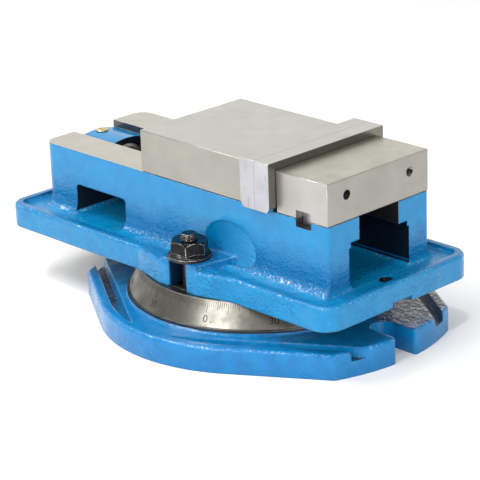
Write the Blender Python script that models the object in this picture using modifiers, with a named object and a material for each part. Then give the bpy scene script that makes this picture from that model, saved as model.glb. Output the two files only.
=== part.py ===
"""A swivel milling vise: a ground bed, jaws and lead screw that turn on a graduated swivel base.

X runs along the bed, from the crank end (-X) to the fixed jaw (+X), Y runs across it and Z is up.
The origin is on the swivel axis, in the plane that the base stands on. Lengths are in metres.
"""

import math

import bmesh
import bpy
from mathutils import Matrix, Vector

for leftover in list(bpy.data.objects):
    bpy.data.objects.remove(leftover)

MM = 0.001

# Clearances shared by the whole vise
SEAT_GAP = 0.3 * MM
RUN_GAP = 0.4 * MM
OVERRUN = 6 * MM
WELD = 0.01 * MM

# How finely round shapes are divided
ARC_STEPS = 6
ROUND_SIDES = 32
SMALL_SIDES = 20
RING_STEPS = 72
FOOT_STEPS = 5

# Swivel base: a round plate with two slotted lugs and a machined core
BASE_RADIUS = 158 * MM
BASE_EDGE_HEIGHT = 25 * MM
BASE_HEIGHT = 53 * MM
BASE_EDGE_ROUND = 3.5 * MM
LUG_OVERHANG = 30 * MM
BACK_LUG_OVERHANG = 23 * MM
LUG_CORNER_ANGLE = math.radians(24.5)
LUG_CORNER_ROUND = 7 * MM
LUG_SLOT_WIDTH = 26 * MM
LUG_SLOT_INSET = 10 * MM
LUG_SLOT_MOUTH_ROUND = 5 * MM
BASE_RIM_WIDTH = 10 * MM
TRENCH_WIDTH = 12 * MM
TRENCH_DEPTH = 9.5 * MM
TRENCH_SIDE_SLOPE = 2 * MM
TRENCH_END_ANGLE = math.radians(86)
CORE_RADIUS = 106 * MM

# Degree ring, a turned cone round the core
RING_SEAT_HEIGHT = 28 * MM
RING_SEAT_MARGIN = 2.5 * MM
RING_FOOT_RADIUS = 128.5 * MM
RING_TOP_RADIUS = 115.5 * MM
RING_BEAD_HEIGHT = 2.2 * MM
RING_BEAD_STEP = 1.4 * MM
RING_TOP_CHAMFER = 0.8 * MM

# Centre pivot
PIVOT_RADIUS = 20 * MM
PIVOT_SINK = 30 * MM
PIVOT_RISE = 13.5 * MM
PIVOT_CHAMFER = 1.5 * MM

# Clamping bolts and the round slot that their heads slide in
BOLT_CIRCLE_RADIUS = 91 * MM
BOLT_RADIUS = 8 * MM
BOLT_HEAD_WIDTH = 22.5 * MM
BOLT_HEAD_HEIGHT = 11 * MM
BOLT_TIP_CHAMFER = 1.2 * MM
TSLOT_NECK_WIDTH = 17.6 * MM
TSLOT_WIDTH = 25 * MM
TSLOT_NECK_DEPTH = 13 * MM
TSLOT_DEPTH = 27 * MM
WASHER_RADIUS = 21 * MM
WASHER_THICKNESS = 3 * MM
WASHER_CHAMFER = 0.7 * MM
NUT_WIDTH = 32 * MM
NUT_HEIGHT = 14 * MM
NUT_CHAMFER_ANGLE = math.radians(45)
NUT_REST_ANGLE = math.radians(6)
NUT_SKIRT_RADIUS = 19.8 * MM
NUT_SKIRT_HEIGHT = 3 * MM
BOLT_STAND_OUT = 6 * MM

# Bed casting: flange with its rim and trough
BED_END_X = 156 * MM
BED_LENGTH = 394.8 * MM
BED_WIDTH = 134 * MM
BED_HEIGHT = 85.2 * MM
BED_CORNER_ROUND = 14 * MM
BED_FRONT_ROUND = 3 * MM
FLANGE_FRONT = 27.4 * MM
FLANGE_BACK = 26.3 * MM
FLANGE_WIDTH = 197 * MM
FLANGE_HEIGHT = 23.2 * MM
FLANGE_CORNER_ROUND = 20 * MM
FLANGE_EDGE_ROUND = 3.2 * MM
RIM_WIDTH = 8.5 * MM
TROUGH_DEPTH = 4.4 * MM
WALL_FOOT_RADIUS = 14 * MM
FOOT_BITE = 0.3 * MM
MOUTH_BITE = 0.2 * MM
END_FOOT_RADIUS = 2.5 * MM

# Bed casting: ears that the clamping bolts stand in
EAR_REACH = 109 * MM
EAR_HALF_LENGTH = 25 * MM
EAR_BLEND = 40 * MM
EAR_ROUND = 14 * MM
PAD_HEIGHT = 8.4 * MM
PAD_HALF_LENGTH = 24 * MM
PAD_SPREAD = 9 * MM
PAD_INSET = 1 * MM
PAD_CORNER_ROUND = 4 * MM
PAD_EDGE_ROUND = 1.5 * MM
EAR_SLOT_WIDTH = 22 * MM
EAR_SLOT_SETBACK = 2 * MM
EAR_SLOT_MOUTH_ROUND = 4 * MM
SPOT_FACE_MARGIN = 0.8 * MM
SPOT_FACE_HEIGHT = 6 * MM
SCOOP_CENTRE_X = 30 * MM
SCOOP_CENTRE_DEPTH = 48 * MM
SCOOP_HALF_LENGTH = 34 * MM
SCOOP_HALF_HEIGHT = 25 * MM
SCOOP_SINK = 6 * MM

# Bed casting: the slot between the ways and the channel below it
SLOT_WIDTH = 52.6 * MM
LEDGE_THICKNESS = 21.7 * MM
CHANNEL_WIDTH = 75 * MM
CHANNEL_MACHINED_HEIGHT = 5.3 * MM
CHANNEL_FLOOR_RISE = 0.3 * MM
CAST_CHANNEL_WIDTH = 80 * MM
CAST_CHANNEL_ROUND = 6 * MM
WINDOW_SETBACK = 272.8 * MM
WINDOW_LENGTH = 73 * MM
WINDOW_TOP_DEPTH = 35 * MM
WINDOW_ROUND = 4 * MM

# Bed casting: the bridge that carries the lead screw
BRIDGE_SETBACK = 3.8 * MM
BRIDGE_LENGTH = 47.3 * MM
BRIDGE_CROWN_DEPTH = 3 * MM
BRIDGE_EDGE_DEPTH = 7.5 * MM

# Bed casting: keyway and key screw holes in the underside
KEYWAY_WIDTH = 26 * MM
KEYWAY_DEPTH = 4.7 * MM
KEY_HOLE_RADIUS = 4.5 * MM
KEY_HOLE_SINK_RADIUS = 6.8 * MM
KEY_HOLE_SINK_DEPTH = 8 * MM
KEY_HOLE_SETBACK = 19.5 * MM

# Oil cup on the bridge
OIL_CUP_RADIUS = 6.5 * MM
OIL_CUP_RISE = 1.6 * MM
OIL_CUP_STEM_RADIUS = 4 * MM
OIL_CUP_STEM_LENGTH = 9 * MM
OIL_CUP_SETBACK = 9 * MM
OIL_CUP_HOLE_RADIUS = 1.6 * MM
OIL_CUP_HOLE_DEPTH = 3 * MM

# Fixed jaw
FIXED_JAW_LENGTH = 63.3 * MM
FIXED_JAW_HEIGHT = 40.3 * MM
JAW_EDGE_BREAK = 0.6 * MM
STOP_HOLE_OFFSET = 41.7 * MM
STOP_HOLE_HEIGHT = 24.8 * MM
STOP_HOLE_RADIUS = 4.75 * MM
STOP_HOLE_DEPTH = 20 * MM
CROSS_KEY_SETBACK = 20.4 * MM
CROSS_KEY_WIDTH = 18.8 * MM
CROSS_KEY_RISE = 8.4 * MM
CROSS_KEY_SINK = 7.3 * MM
CROSS_KEY_END_GAP = 8.6 * MM

# Fixed jaw bolts, driven up through the bed's walls
JAW_BOLT_RADIUS = 6 * MM
JAW_BOLT_HEAD_RADIUS = 9 * MM
JAW_BOLT_HEAD_HEIGHT = 12 * MM
JAW_BOLT_OFFSET = 54 * MM
JAW_BOLT_SETBACK = 12.5 * MM
JAW_BOLT_SPACING = 39.5 * MM
JAW_BOLT_GRIP = 45 * MM
JAW_BOLT_REACH = 16 * MM

# Jaw plates and their screws
PLATE_WIDTH = 152.4 * MM
PLATE_HEIGHT = 46.8 * MM
PLATE_THICKNESS = 18 * MM
PLATE_LIFT = 1 * MM
PLATE_CHAMFER_RUN = 3 * MM
PLATE_CHAMFER_RISE = 4.5 * MM
PLATE_SCREW_OFFSET = 38 * MM
PLATE_SCREW_HEIGHT = 24.4 * MM
PLATE_SCREW_RADIUS = 6 * MM
PLATE_SCREW_HEAD_RADIUS = 9 * MM
PLATE_SCREW_HEAD_HEIGHT = 12 * MM
PLATE_SCREW_HEAD_SINK = 1 * MM
PLATE_SCREW_REACH = 22 * MM
PLATE_SCREW_END_GAP = 0.6 * MM

# Movable jaw
MOVABLE_JAW_LENGTH = 145.3 * MM
MOVABLE_JAW_HEIGHT = 41.7 * MM
TONGUE_DEPTH = 12 * MM
TONGUE_SETBACK = 3 * MM
TONGUE_NUT_GAP = 2 * MM

# Half ball that presses the movable jaw down and forward
BALL_RADIUS = 13 * MM
BALL_SETBACK = 25 * MM
BALL_HEIGHT = 8 * MM
BALL_PLANE_GAP = 0.9 * MM

# Jaw nut, which hooks up into the movable jaw
NUT_BLOCK_LENGTH = 57 * MM
NUT_BLOCK_SETBACK = 33 * MM
NUT_BLOCK_BOTTOM = 50 * MM
NUT_BLOCK_SIDE_GAP = 0.7 * MM
NUT_HUMP_DEPTH = 8 * MM
NECK_WIDTH = 32 * MM
NECK_REACH = 27 * MM
NECK_RISE = 24 * MM
NECK_ROOM = 4 * MM

# Screw that takes up the play behind the jaw nut's neck
ADJUSTER_RADIUS = 5 * MM
ADJUSTER_LENGTH = 30 * MM
ADJUSTER_HEIGHT = 12 * MM

# Hexagon sockets of the cap screws and grub screws
SOCKET_SHARE = 0.52
SOCKET_DEPTH_SHARE = 0.5

# Lead screw
SCREW_AXIS_DEPTH = 31 * MM
SCREW_THREAD_RADIUS = 16 * MM
SCREW_SHAFT_RADIUS = 15 * MM
SCREW_COLLAR_RADIUS = 22 * MM
SCREW_COLLAR_LENGTH = 8 * MM
SCREW_TIP_SETBACK = 125 * MM
SCREW_TIP_CHAMFER = 2 * MM
HEX_WIDTH = 19 * MM
HEX_LENGTH = 18 * MM

# Thrust bearing in the bridge, its bush and the collar that keeps the screw in
BEARING_RADIUS = 23.5 * MM
BEARING_HEIGHT = 11 * MM
RACE_THICKNESS = 2.3 * MM
BALL_BEARING_RADIUS = 2.9 * MM
BALL_BEARING_COUNT = 14
CAGE_THICKNESS = 2.4 * MM
CAGE_WALL = 1.3 * MM
BUSH_WALL = 3 * MM
COLLAR_RADIUS = 21 * MM
COLLAR_LENGTH = 9 * MM
GRUB_RADIUS = 3 * MM
GRUB_LENGTH = 5 * MM

# Levels up the vise
FLANGE_BOTTOM = BASE_HEIGHT + SEAT_GAP
RIM_TOP = FLANGE_BOTTOM + FLANGE_HEIGHT
FLOOR = RIM_TOP - TROUGH_DEPTH
PAD_TOP = FLOOR + PAD_HEIGHT
WAYS = FLANGE_BOTTOM + BED_HEIGHT
SCREW_AXIS = WAYS - SCREW_AXIS_DEPTH
LEDGE_BOTTOM = WAYS - LEDGE_THICKNESS
TSLOT_FLOOR = BASE_HEIGHT - TSLOT_DEPTH
TSLOT_CEILING = BASE_HEIGHT - TSLOT_NECK_DEPTH

# Places along the base
LUG_REACH = BASE_RADIUS + LUG_OVERHANG
BACK_LUG_REACH = BASE_RADIUS + BACK_LUG_OVERHANG
LUG_SLOT_START = BASE_RADIUS - LUG_SLOT_INSET

# Places along the vise
BED_BACK_X = BED_END_X - BED_LENGTH
BRIDGE_BACK_X = BED_BACK_X + BRIDGE_SETBACK
BRIDGE_FRONT_X = BRIDGE_BACK_X + BRIDGE_LENGTH
FIXED_PLATE_X = BED_END_X - FIXED_JAW_LENGTH - SEAT_GAP
CLAMP_FACE_X = FIXED_PLATE_X - PLATE_THICKNESS
MOVABLE_FACE_X = CLAMP_FACE_X - SEAT_GAP
MOVABLE_PLATE_X = MOVABLE_FACE_X - PLATE_THICKNESS
JAW_FRONT_X = MOVABLE_PLATE_X - SEAT_GAP
JAW_BACK_X = JAW_FRONT_X - MOVABLE_JAW_LENGTH

# Bearing stack, from the bridge's front face back
SCREW_COLLAR_FRONT_X = BRIDGE_FRONT_X - SEAT_GAP
SCREW_COLLAR_BACK_X = SCREW_COLLAR_FRONT_X - SCREW_COLLAR_LENGTH
BEARING_FRONT_X = SCREW_COLLAR_BACK_X - SEAT_GAP
BEARING_BACK_X = BEARING_FRONT_X - BEARING_HEIGHT
BEARING_POCKET_X = BEARING_BACK_X - SEAT_GAP
COLLAR_FRONT_X = BRIDGE_BACK_X - SEAT_GAP
COLLAR_BACK_X = COLLAR_FRONT_X - COLLAR_LENGTH

# Half ball's centre, where the jaw nut pushes the movable jaw
BALL_X = JAW_FRONT_X - BALL_SETBACK
BALL_Z = WAYS + BALL_HEIGHT


def new_collection(name):
    made = bpy.data.collections.new(name)
    bpy.context.scene.collection.children.link(made)
    return made


PIECES = new_collection("swivel_milling_vise")
CUTTERS = new_collection("cutters")


def finish(name, colour, roughness, metallic):
    """A plain painted or metal surface."""
    made = bpy.data.materials.new(name)
    made.use_nodes = True
    shader = made.node_tree.nodes["Principled BSDF"]
    shader.inputs["Base Color"].default_value = (*colour, 1)
    shader.inputs["Roughness"].default_value = roughness
    shader.inputs["Metallic"].default_value = metallic
    return made


BLUE_ENAMEL = finish("blue_enamel", (0.03, 0.27, 0.58), 0.35, 0)
GROUND_STEEL = finish("ground_steel", (0.56, 0.54, 0.49), 0.32, 1)
PLATE_STEEL = finish("hardened_plate_steel", (0.6, 0.6, 0.6), 0.28, 1)
RING_STEEL = finish("turned_ring_steel", (0.5, 0.49, 0.46), 0.35, 1)
BLACK_OXIDE = finish("black_oxide", (0.03, 0.03, 0.035), 0.4, 0.8)
BRIGHT_STEEL = finish("bright_steel", (0.6, 0.6, 0.6), 0.3, 1)
BRONZE = finish("bronze", (0.55, 0.36, 0.14), 0.4, 1)
BRASS = finish("brass", (0.75, 0.58, 0.25), 0.3, 1)


def axis_empty(name, place):
    """An empty on a joint's axis, which carries the pieces that move there."""
    made = bpy.data.objects.new(name, None)
    made.location = Vector(place)
    PIECES.objects.link(made)
    return made


SWIVEL = axis_empty("swivel_axis", (0, 0, 0))
JAW_SLIDE = axis_empty("jaw_slide", (JAW_FRONT_X, 0, WAYS))
SCREW_SPIN = axis_empty("lead_screw_axis", (BRIDGE_FRONT_X, 0, SCREW_AXIS))
NUT_TURNS = {
    side: axis_empty(f"clamp_nut_{side}_axis", (0, sign * BOLT_CIRCLE_RADIUS, PAD_TOP))
    for side, sign in (("near", -1), ("far", 1))
}
for mover in (JAW_SLIDE, SCREW_SPIN, *NUT_TURNS.values()):
    mover.parent = SWIVEL


def stand(name, mesh, place, surface=None, carrier=None):
    """Puts a mesh in the scene at a place: a cutter when it has no surface, else a piece."""
    made = bpy.data.objects.new(name, mesh)
    made.location = Vector(place)
    if surface is None:
        CUTTERS.objects.link(made)
        made.hide_render = True
        made.display_type = "WIRE"
        return made
    PIECES.objects.link(made)
    mesh.materials.append(surface)
    if carrier:
        made.parent = carrier
        made.location = Vector(place) - carrier.location
    return made


def mesh_of(name, bm):
    mesh = bpy.data.meshes.new(name)
    bm.to_mesh(mesh)
    bm.free()
    return mesh


def brick(name, low, high, surface=None, carrier=None):
    """A box between two corners."""
    bm = bmesh.new()
    bmesh.ops.create_cube(bm, size=1)
    bmesh.ops.scale(bm, vec=Vector(high) - Vector(low), verts=bm.verts)
    return stand(name, mesh_of(name, bm), (Vector(low) + Vector(high)) / 2, surface, carrier)


def rod(name, radius, start, end, surface=None, carrier=None, sides=SMALL_SIDES, tip=None):
    """A round or six-sided bar from start to end, tapered when it has a tip radius."""
    run = Vector(end) - Vector(start)
    bm = bmesh.new()
    bmesh.ops.create_cone(
        bm,
        cap_ends=True,
        segments=sides,
        radius1=radius,
        radius2=radius if tip is None else tip,
        depth=run.length,
    )
    aim = Vector((0, 0, 1)).rotation_difference(run).to_matrix()
    bmesh.ops.rotate(bm, cent=(0, 0, 0), matrix=aim, verts=bm.verts)
    mesh = mesh_of(name, bm)
    mesh.shade_smooth()
    mesh.set_sharp_from_angle(angle=math.radians(30))
    return stand(name, mesh, (Vector(start) + Vector(end)) / 2, surface, carrier)


def turned(name, profile, place, surface=None, carrier=None, steps=ROUND_SIDES, along_x=False):
    """Turns a profile of (radius, height) points, which runs down its outer side, round an axis."""
    mesh = bpy.data.meshes.new(name)
    links = [(i, i + 1) for i in range(len(profile) - 1)]
    if min(radius for radius, height in profile) > 0:
        links.append((len(profile) - 1, 0))
    mesh.from_pydata([(radius, 0, height) for radius, height in profile], links, [])
    made = stand(name, mesh, place, surface, carrier)
    if along_x:
        made.rotation_euler = (0, math.pi / 2, 0)
    turn = made.modifiers.new("Turn", "SCREW")
    turn.steps = steps
    turn.render_steps = steps
    turn.use_merge_vertices = True
    turn.merge_threshold = WELD
    return made


def rounded(corners):
    """An outline whose corners (u, v, radius) are drawn as arcs."""
    outline = []
    for i, (u, v, radius) in enumerate(corners):
        here = Vector((u, v))
        if not radius:
            outline.append(here)
            continue
        back = (Vector(corners[i - 1][:2]) - here).normalized()
        ahead = (Vector(corners[(i + 1) % len(corners)][:2]) - here).normalized()
        half = back.angle(ahead) / 2
        centre = here + (back + ahead).normalized() * radius / math.sin(half)
        first = here + back * radius / math.tan(half) - centre
        last = here + ahead * radius / math.tan(half) - centre
        sweep = math.remainder(
            math.atan2(last.y, last.x) - math.atan2(first.y, first.x), math.tau
        )
        for step in range(ARC_STEPS + 1):
            outline.append(centre + Matrix.Rotation(sweep * step / ARC_STEPS, 2) @ first)
    return outline


def mirrored(half):
    """A closed outline from its half at positive u and from the mirror image of that half."""
    return [*half, *[(-u, v, radius) for u, v, radius in reversed(half)]]


def weld(mesh, turn=None):
    """Closes a thick outline: its sides are joined up and each flat end is filled as one face."""
    bm = bmesh.new()
    bm.from_mesh(mesh)
    bmesh.ops.remove_doubles(bm, verts=bm.verts, dist=WELD)
    ends = [face for face in bm.faces if len({vert.co.z > 0 for vert in face.verts}) == 1]
    bmesh.ops.delete(bm, geom=ends, context="FACES")
    bmesh.ops.holes_fill(bm, edges=[edge for edge in bm.edges if edge.is_boundary])
    if turn:
        bm.transform(turn)
    bmesh.ops.recalc_face_normals(bm, faces=bm.faces)
    if bm.calc_volume(signed=True) < 0:
        bmesh.ops.reverse_faces(bm, faces=bm.faces)
    bm.to_mesh(mesh)
    bm.free()


# The map from an outline's own axes to the vise's, for an outline drawn flat, from the side or from the end
DRAWN_FLAT = None
DRAWN_FROM_SIDE = Matrix(((1, 0, 0, 0), (0, 0, 1, 0), (0, 1, 0, 0), (0, 0, 0, 1)))
DRAWN_FROM_END = Matrix(((0, 0, 1, 0), (1, 0, 0, 0), (0, 1, 0, 0), (0, 0, 0, 1)))


def slab(name, outline, low, high, surface=None, carrier=None, drawn=DRAWN_FLAT):
    """A flat outline made thick, from low to high along the axis that it is not drawn in."""
    curve = bpy.data.curves.new(name, "CURVE")
    curve.dimensions = "2D"
    curve.fill_mode = "BOTH"
    curve.extrude = (high - low) / 2
    spline = curve.splines.new("POLY")
    spline.points.add(len(outline) - 1)
    for point, (u, v) in zip(spline.points, outline):
        point.co = (u, v, 0, 1)
    spline.use_cyclic_u = True
    sketch = bpy.data.objects.new(name, curve)
    CUTTERS.objects.link(sketch)
    bpy.context.view_layer.update()
    graph = bpy.context.evaluated_depsgraph_get()
    mesh = bpy.data.meshes.new_from_object(sketch.evaluated_get(graph))
    bpy.data.objects.remove(sketch)
    weld(mesh, drawn)
    middle = Vector((0, 0, (low + high) / 2))
    place = drawn.to_3x3() @ middle if drawn else middle
    return stand(name, mesh, place, surface, carrier)


def loft(name, sections, surface=None, carrier=None):
    """A closed skin over outlines of equally many points, each at its own height."""
    bm = bmesh.new()
    rings = [[bm.verts.new((*point, height)) for point in outline] for height, outline in sections]
    for lower, upper in zip(rings, rings[1:]):
        for i in range(len(lower)):
            bm.faces.new((lower[i - 1], lower[i], upper[i], upper[i - 1]))
    bm.faces.new(reversed(rings[0]))
    bm.faces.new(rings[-1])
    bmesh.ops.recalc_face_normals(bm, faces=bm.faces)
    return stand(name, mesh_of(name, bm), (0, 0, 0), surface, carrier)


def soften(piece, width, chosen, segments=3):
    """Rounds those sharp edges of a piece whose end points, in the piece's own axes, are chosen."""
    bm = bmesh.new()
    bm.from_mesh(piece.data)
    edges = [
        edge
        for edge in bm.edges
        if edge.calc_face_angle(0) > math.radians(40) and all(chosen(vert.co) for vert in edge.verts)
    ]
    bmesh.ops.bevel(
        bm,
        geom=edges,
        offset=width,
        segments=segments,
        profile=0.5,
        affect="EDGES",
        material=-1,
    )
    bm.to_mesh(piece.data)
    bm.free()


def facet(mesh):
    """Splits faces of many corners, so that a Boolean step reads their outlines exactly."""
    bm = bmesh.new()
    bm.from_mesh(mesh)
    bmesh.ops.triangulate(bm, faces=[face for face in bm.faces if len(face.verts) > 4])
    bm.to_mesh(mesh)
    bm.free()


def combine(piece, other, operation, label):
    facet(piece.data)
    facet(other.data)
    step = piece.modifiers.new(label, "BOOLEAN")
    step.operation = operation
    step.solver = "EXACT"
    step.object = other


def cut(piece, *cutters):
    for cutter in cutters:
        combine(piece, cutter, "DIFFERENCE", f"Cut {cutter.name}")


def join(piece, *additions):
    for addition in additions:
        combine(piece, addition, "UNION", f"Join {addition.name}")


def in_circle(radius, angle):
    return Vector((radius * math.cos(angle), radius * math.sin(angle)))


def flank_angle():
    """The direction, seen from the axis, in which the base's straight flanks leave its circle."""
    return LUG_CORNER_ANGLE + math.acos(BASE_RADIUS / LUG_REACH)


def lug_corner(radius, lug_reach):
    """Where the flank that touches a circle meets the lug's end."""
    flank = flank_angle()
    along = Vector((math.sin(flank), -math.cos(flank)))
    return in_circle(radius, flank) + along * math.sqrt(lug_reach**2 - radius**2)


def base_quarter(inset, lug_reach, corner_round):
    """A quarter of the base's plan: the lug's end, its corner, the flank and the circle."""
    radius = BASE_RADIUS - inset
    flank = flank_angle()
    corner = lug_corner(radius, lug_reach)
    end_angle = math.atan2(corner.y, corner.x)
    side_steps = ARC_STEPS * 3
    quarter = [in_circle(lug_reach, end_angle * step / ARC_STEPS) for step in range(ARC_STEPS)]
    corners = [(point.x, point.y, 0) for point in quarter]
    corners.append((corner.x, corner.y, corner_round))
    for step in range(side_steps + 1):
        point = in_circle(radius, flank + (math.pi / 2 - flank) * step / side_steps)
        corners.append((point.x, point.y, 0))
    return corners


def whole_plan(front, back):
    """A closed plan from the quarter at the front lug and the quarter at the back one."""
    half = front + [(-x, y, r) for x, y, r in reversed(back[:-1])]
    return rounded(half + [(x, -y, r) for x, y, r in reversed(half[1:-1])])


def base_outline(inset, overshoot, corner_round):
    """The base's plan: a circle, with flanks that run out along tangents to the lugs' corners."""
    return whole_plan(
        base_quarter(inset, LUG_REACH + overshoot, corner_round),
        base_quarter(inset, BACK_LUG_REACH + overshoot, corner_round),
    )


def middle_quarter(slope, lug_reach):
    """A quarter of the middle between the trenches, which close where it grows out to the rim."""
    radius = BASE_RADIUS - BASE_RIM_WIDTH - TRENCH_WIDTH + slope
    flank = flank_angle()
    corner = lug_corner(radius, lug_reach)
    corners = [(corner.x, 0, 0), (corner.x, corner.y, 0)]
    for step in range(ARC_STEPS * 2 + 1):
        share = step / (ARC_STEPS * 2)
        grown = radius + (TRENCH_WIDTH + OVERRUN) * share**2
        point = in_circle(grown, flank + (TRENCH_END_ANGLE - flank) * share)
        corners.append((point.x, point.y, 0))
    corners.append((0, grown, 0))
    return corners


def middle_outline(slope):
    overshoot = LUG_CORNER_ROUND + OVERRUN * 2
    return whole_plan(
        middle_quarter(slope, LUG_REACH + overshoot),
        middle_quarter(slope, BACK_LUG_REACH + overshoot),
    )


def slot_outline(width, start, mouth, mouth_round):
    """A slot open at its mouth, along u, with a round blind end and rounded mouth corners."""
    half = width / 2
    flare = half + mouth_round
    ring = [
        (start + half - half * math.cos(angle), half * math.sin(angle))
        for angle in (math.pi / 2 * step / ARC_STEPS for step in range(ARC_STEPS + 1))
    ]
    lip = [
        (
            mouth + MOUTH_BITE - mouth_round + mouth_round * math.sin(angle),
            flare - mouth_round * math.cos(angle),
        )
        for angle in (math.pi / 2 * step / ARC_STEPS for step in range(ARC_STEPS + 1))
    ]
    side = [*ring, *lip, (mouth + OVERRUN, flare)]
    return [*side, *[(u, -v) for u, v in reversed(side[1:])]]


def turned_outline(outline, angle):
    spin = Matrix.Rotation(angle, 2)
    return [spin @ Vector(point) for point in outline]


def make_base():
    base = slab(
        "swivel_base",
        base_outline(0, 0, LUG_CORNER_ROUND),
        0,
        BASE_EDGE_HEIGHT,
        BLUE_ENAMEL,
    )
    soften(base, BASE_EDGE_ROUND, lambda co: co.z > 0)
    trench_floor = BASE_EDGE_HEIGHT - TRENCH_DEPTH
    trench = slab(
        "base_trench_cutter",
        base_outline(BASE_RIM_WIDTH, LUG_CORNER_ROUND + OVERRUN, 0),
        trench_floor,
        BASE_EDGE_HEIGHT + OVERRUN,
    )
    middle = loft(
        "base_middle_keeper",
        [
            (0, middle_outline(TRENCH_SIDE_SLOPE)),
            (trench_floor, middle_outline(TRENCH_SIDE_SLOPE)),
            (BASE_EDGE_HEIGHT, middle_outline(0)),
            (BASE_HEIGHT, middle_outline(0)),
        ],
    )
    cut(trench, middle)
    cut(base, trench)
    seat_radius = RING_FOOT_RADIUS + RING_SEAT_MARGIN
    core = turned(
        "base_core",
        [
            (0, BASE_HEIGHT),
            (CORE_RADIUS, BASE_HEIGHT),
            (CORE_RADIUS, RING_SEAT_HEIGHT),
            (seat_radius - RING_SEAT_MARGIN / 2, RING_SEAT_HEIGHT),
            (seat_radius - RING_SEAT_MARGIN / 4, BASE_EDGE_HEIGHT / 2),
            (0, BASE_EDGE_HEIGHT / 2),
        ],
        (0, 0, 0),
        steps=RING_STEPS,
    )
    join(base, core)
    neck = TSLOT_NECK_WIDTH / 2
    wide = TSLOT_WIDTH / 2
    groove = turned(
        "bolt_groove_cutter",
        [
            (BOLT_CIRCLE_RADIUS + neck, BASE_HEIGHT + OVERRUN),
            (BOLT_CIRCLE_RADIUS + neck, TSLOT_CEILING),
            (BOLT_CIRCLE_RADIUS + wide, TSLOT_CEILING),
            (BOLT_CIRCLE_RADIUS + wide, TSLOT_FLOOR),
            (BOLT_CIRCLE_RADIUS - wide, TSLOT_FLOOR),
            (BOLT_CIRCLE_RADIUS - wide, TSLOT_CEILING),
            (BOLT_CIRCLE_RADIUS - neck, TSLOT_CEILING),
            (BOLT_CIRCLE_RADIUS - neck, BASE_HEIGHT + OVERRUN),
        ],
        (0, 0, 0),
        steps=RING_STEPS,
    )
    entry = brick(
        "bolt_entry_cutter",
        (BOLT_CIRCLE_RADIUS - wide, -wide, TSLOT_CEILING - BOLT_HEAD_HEIGHT / 2),
        (BOLT_CIRCLE_RADIUS + wide, wide, BASE_HEIGHT + OVERRUN),
    )
    bore = rod(
        "pivot_bore_cutter",
        PIVOT_RADIUS + SEAT_GAP,
        (0, 0, BASE_HEIGHT - PIVOT_SINK - SEAT_GAP),
        (0, 0, BASE_HEIGHT + OVERRUN),
        sides=ROUND_SIDES,
    )
    cut(base, groove, entry, bore)
    for side, angle, reach in (("front", 0, LUG_REACH), ("back", math.pi, BACK_LUG_REACH)):
        outline = slot_outline(LUG_SLOT_WIDTH, LUG_SLOT_START, reach, LUG_SLOT_MOUTH_ROUND)
        cut(
            base,
            slab(
                f"lug_slot_{side}_cutter",
                turned_outline(outline, angle),
                -OVERRUN,
                BASE_EDGE_HEIGHT + OVERRUN,
            ),
        )


def make_degree_ring():
    bottom = RING_SEAT_HEIGHT + SEAT_GAP
    bead_top = bottom + RING_BEAD_HEIGHT
    turned(
        "degree_ring",
        [
            (CORE_RADIUS + SEAT_GAP, BASE_HEIGHT),
            (RING_TOP_RADIUS - RING_TOP_CHAMFER, BASE_HEIGHT),
            (RING_TOP_RADIUS, BASE_HEIGHT - RING_TOP_CHAMFER),
            (RING_FOOT_RADIUS - RING_BEAD_STEP, bead_top + RING_BEAD_STEP / 2),
            (RING_FOOT_RADIUS - RING_BEAD_STEP, bead_top),
            (RING_FOOT_RADIUS, bead_top),
            (RING_FOOT_RADIUS, bottom),
            (CORE_RADIUS + SEAT_GAP, bottom),
        ],
        (0, 0, 0),
        RING_STEEL,
        steps=RING_STEPS,
    )


def make_pivot():
    bottom = BASE_HEIGHT - PIVOT_SINK
    top = FLANGE_BOTTOM + PIVOT_RISE
    turned(
        "centre_pivot",
        [
            (0, top),
            (PIVOT_RADIUS - PIVOT_CHAMFER, top),
            (PIVOT_RADIUS, top - PIVOT_CHAMFER),
            (PIVOT_RADIUS, bottom + PIVOT_CHAMFER),
            (PIVOT_RADIUS - PIVOT_CHAMFER, bottom),
            (0, bottom),
        ],
        (0, 0, 0),
        BRIGHT_STEEL,
    )


def flange_outline():
    """The flange's plan: a rounded oblong with an ear on each long side, where a bolt stands."""
    front = BED_END_X + FLANGE_FRONT
    back = BED_BACK_X - FLANGE_BACK
    half = FLANGE_WIDTH / 2
    ear_root = EAR_HALF_LENGTH + EAR_BLEND
    side = [
        (front, half, FLANGE_CORNER_ROUND),
        (ear_root, half, EAR_ROUND),
        (EAR_HALF_LENGTH, EAR_REACH, EAR_ROUND),
        (-EAR_HALF_LENGTH, EAR_REACH, EAR_ROUND),
        (-ear_root, half, EAR_ROUND),
        (back, half, FLANGE_CORNER_ROUND),
    ]
    return rounded(side + [(x, -y, r) for x, y, r in reversed(side)])


def wall_section(side_grow, end_grow):
    """The plan of the bed's walls, grown by the foot that flares out at the sides and the ends."""
    half = BED_WIDTH / 2 + side_grow
    front = BED_END_X + end_grow
    back = BED_BACK_X - end_grow
    front_round = BED_FRONT_ROUND + end_grow
    back_round = BED_CORNER_ROUND + end_grow
    return rounded(
        [
            (front, half, front_round),
            (back, half, back_round),
            (back, -half, back_round),
            (front, -half, front_round),
        ]
    )


def make_walls():
    """The bed's block above the flange, with a hollow foot all round where it meets the trough."""
    sections = [(FLOOR - FLANGE_HEIGHT / 4, wall_section(WALL_FOOT_RADIUS, END_FOOT_RADIUS))]
    for step in range(FOOT_STEPS + 1):
        angle = math.pi / 2 * step / FOOT_STEPS
        spread = 1 - math.sin(angle)
        height = FLOOR - FOOT_BITE + WALL_FOOT_RADIUS * (1 - math.cos(angle))
        sections.append(
            (height, wall_section(WALL_FOOT_RADIUS * spread, END_FOOT_RADIUS * spread))
        )
    sections.append((WAYS, wall_section(0, 0)))
    return loft("bed_walls", sections)


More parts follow.
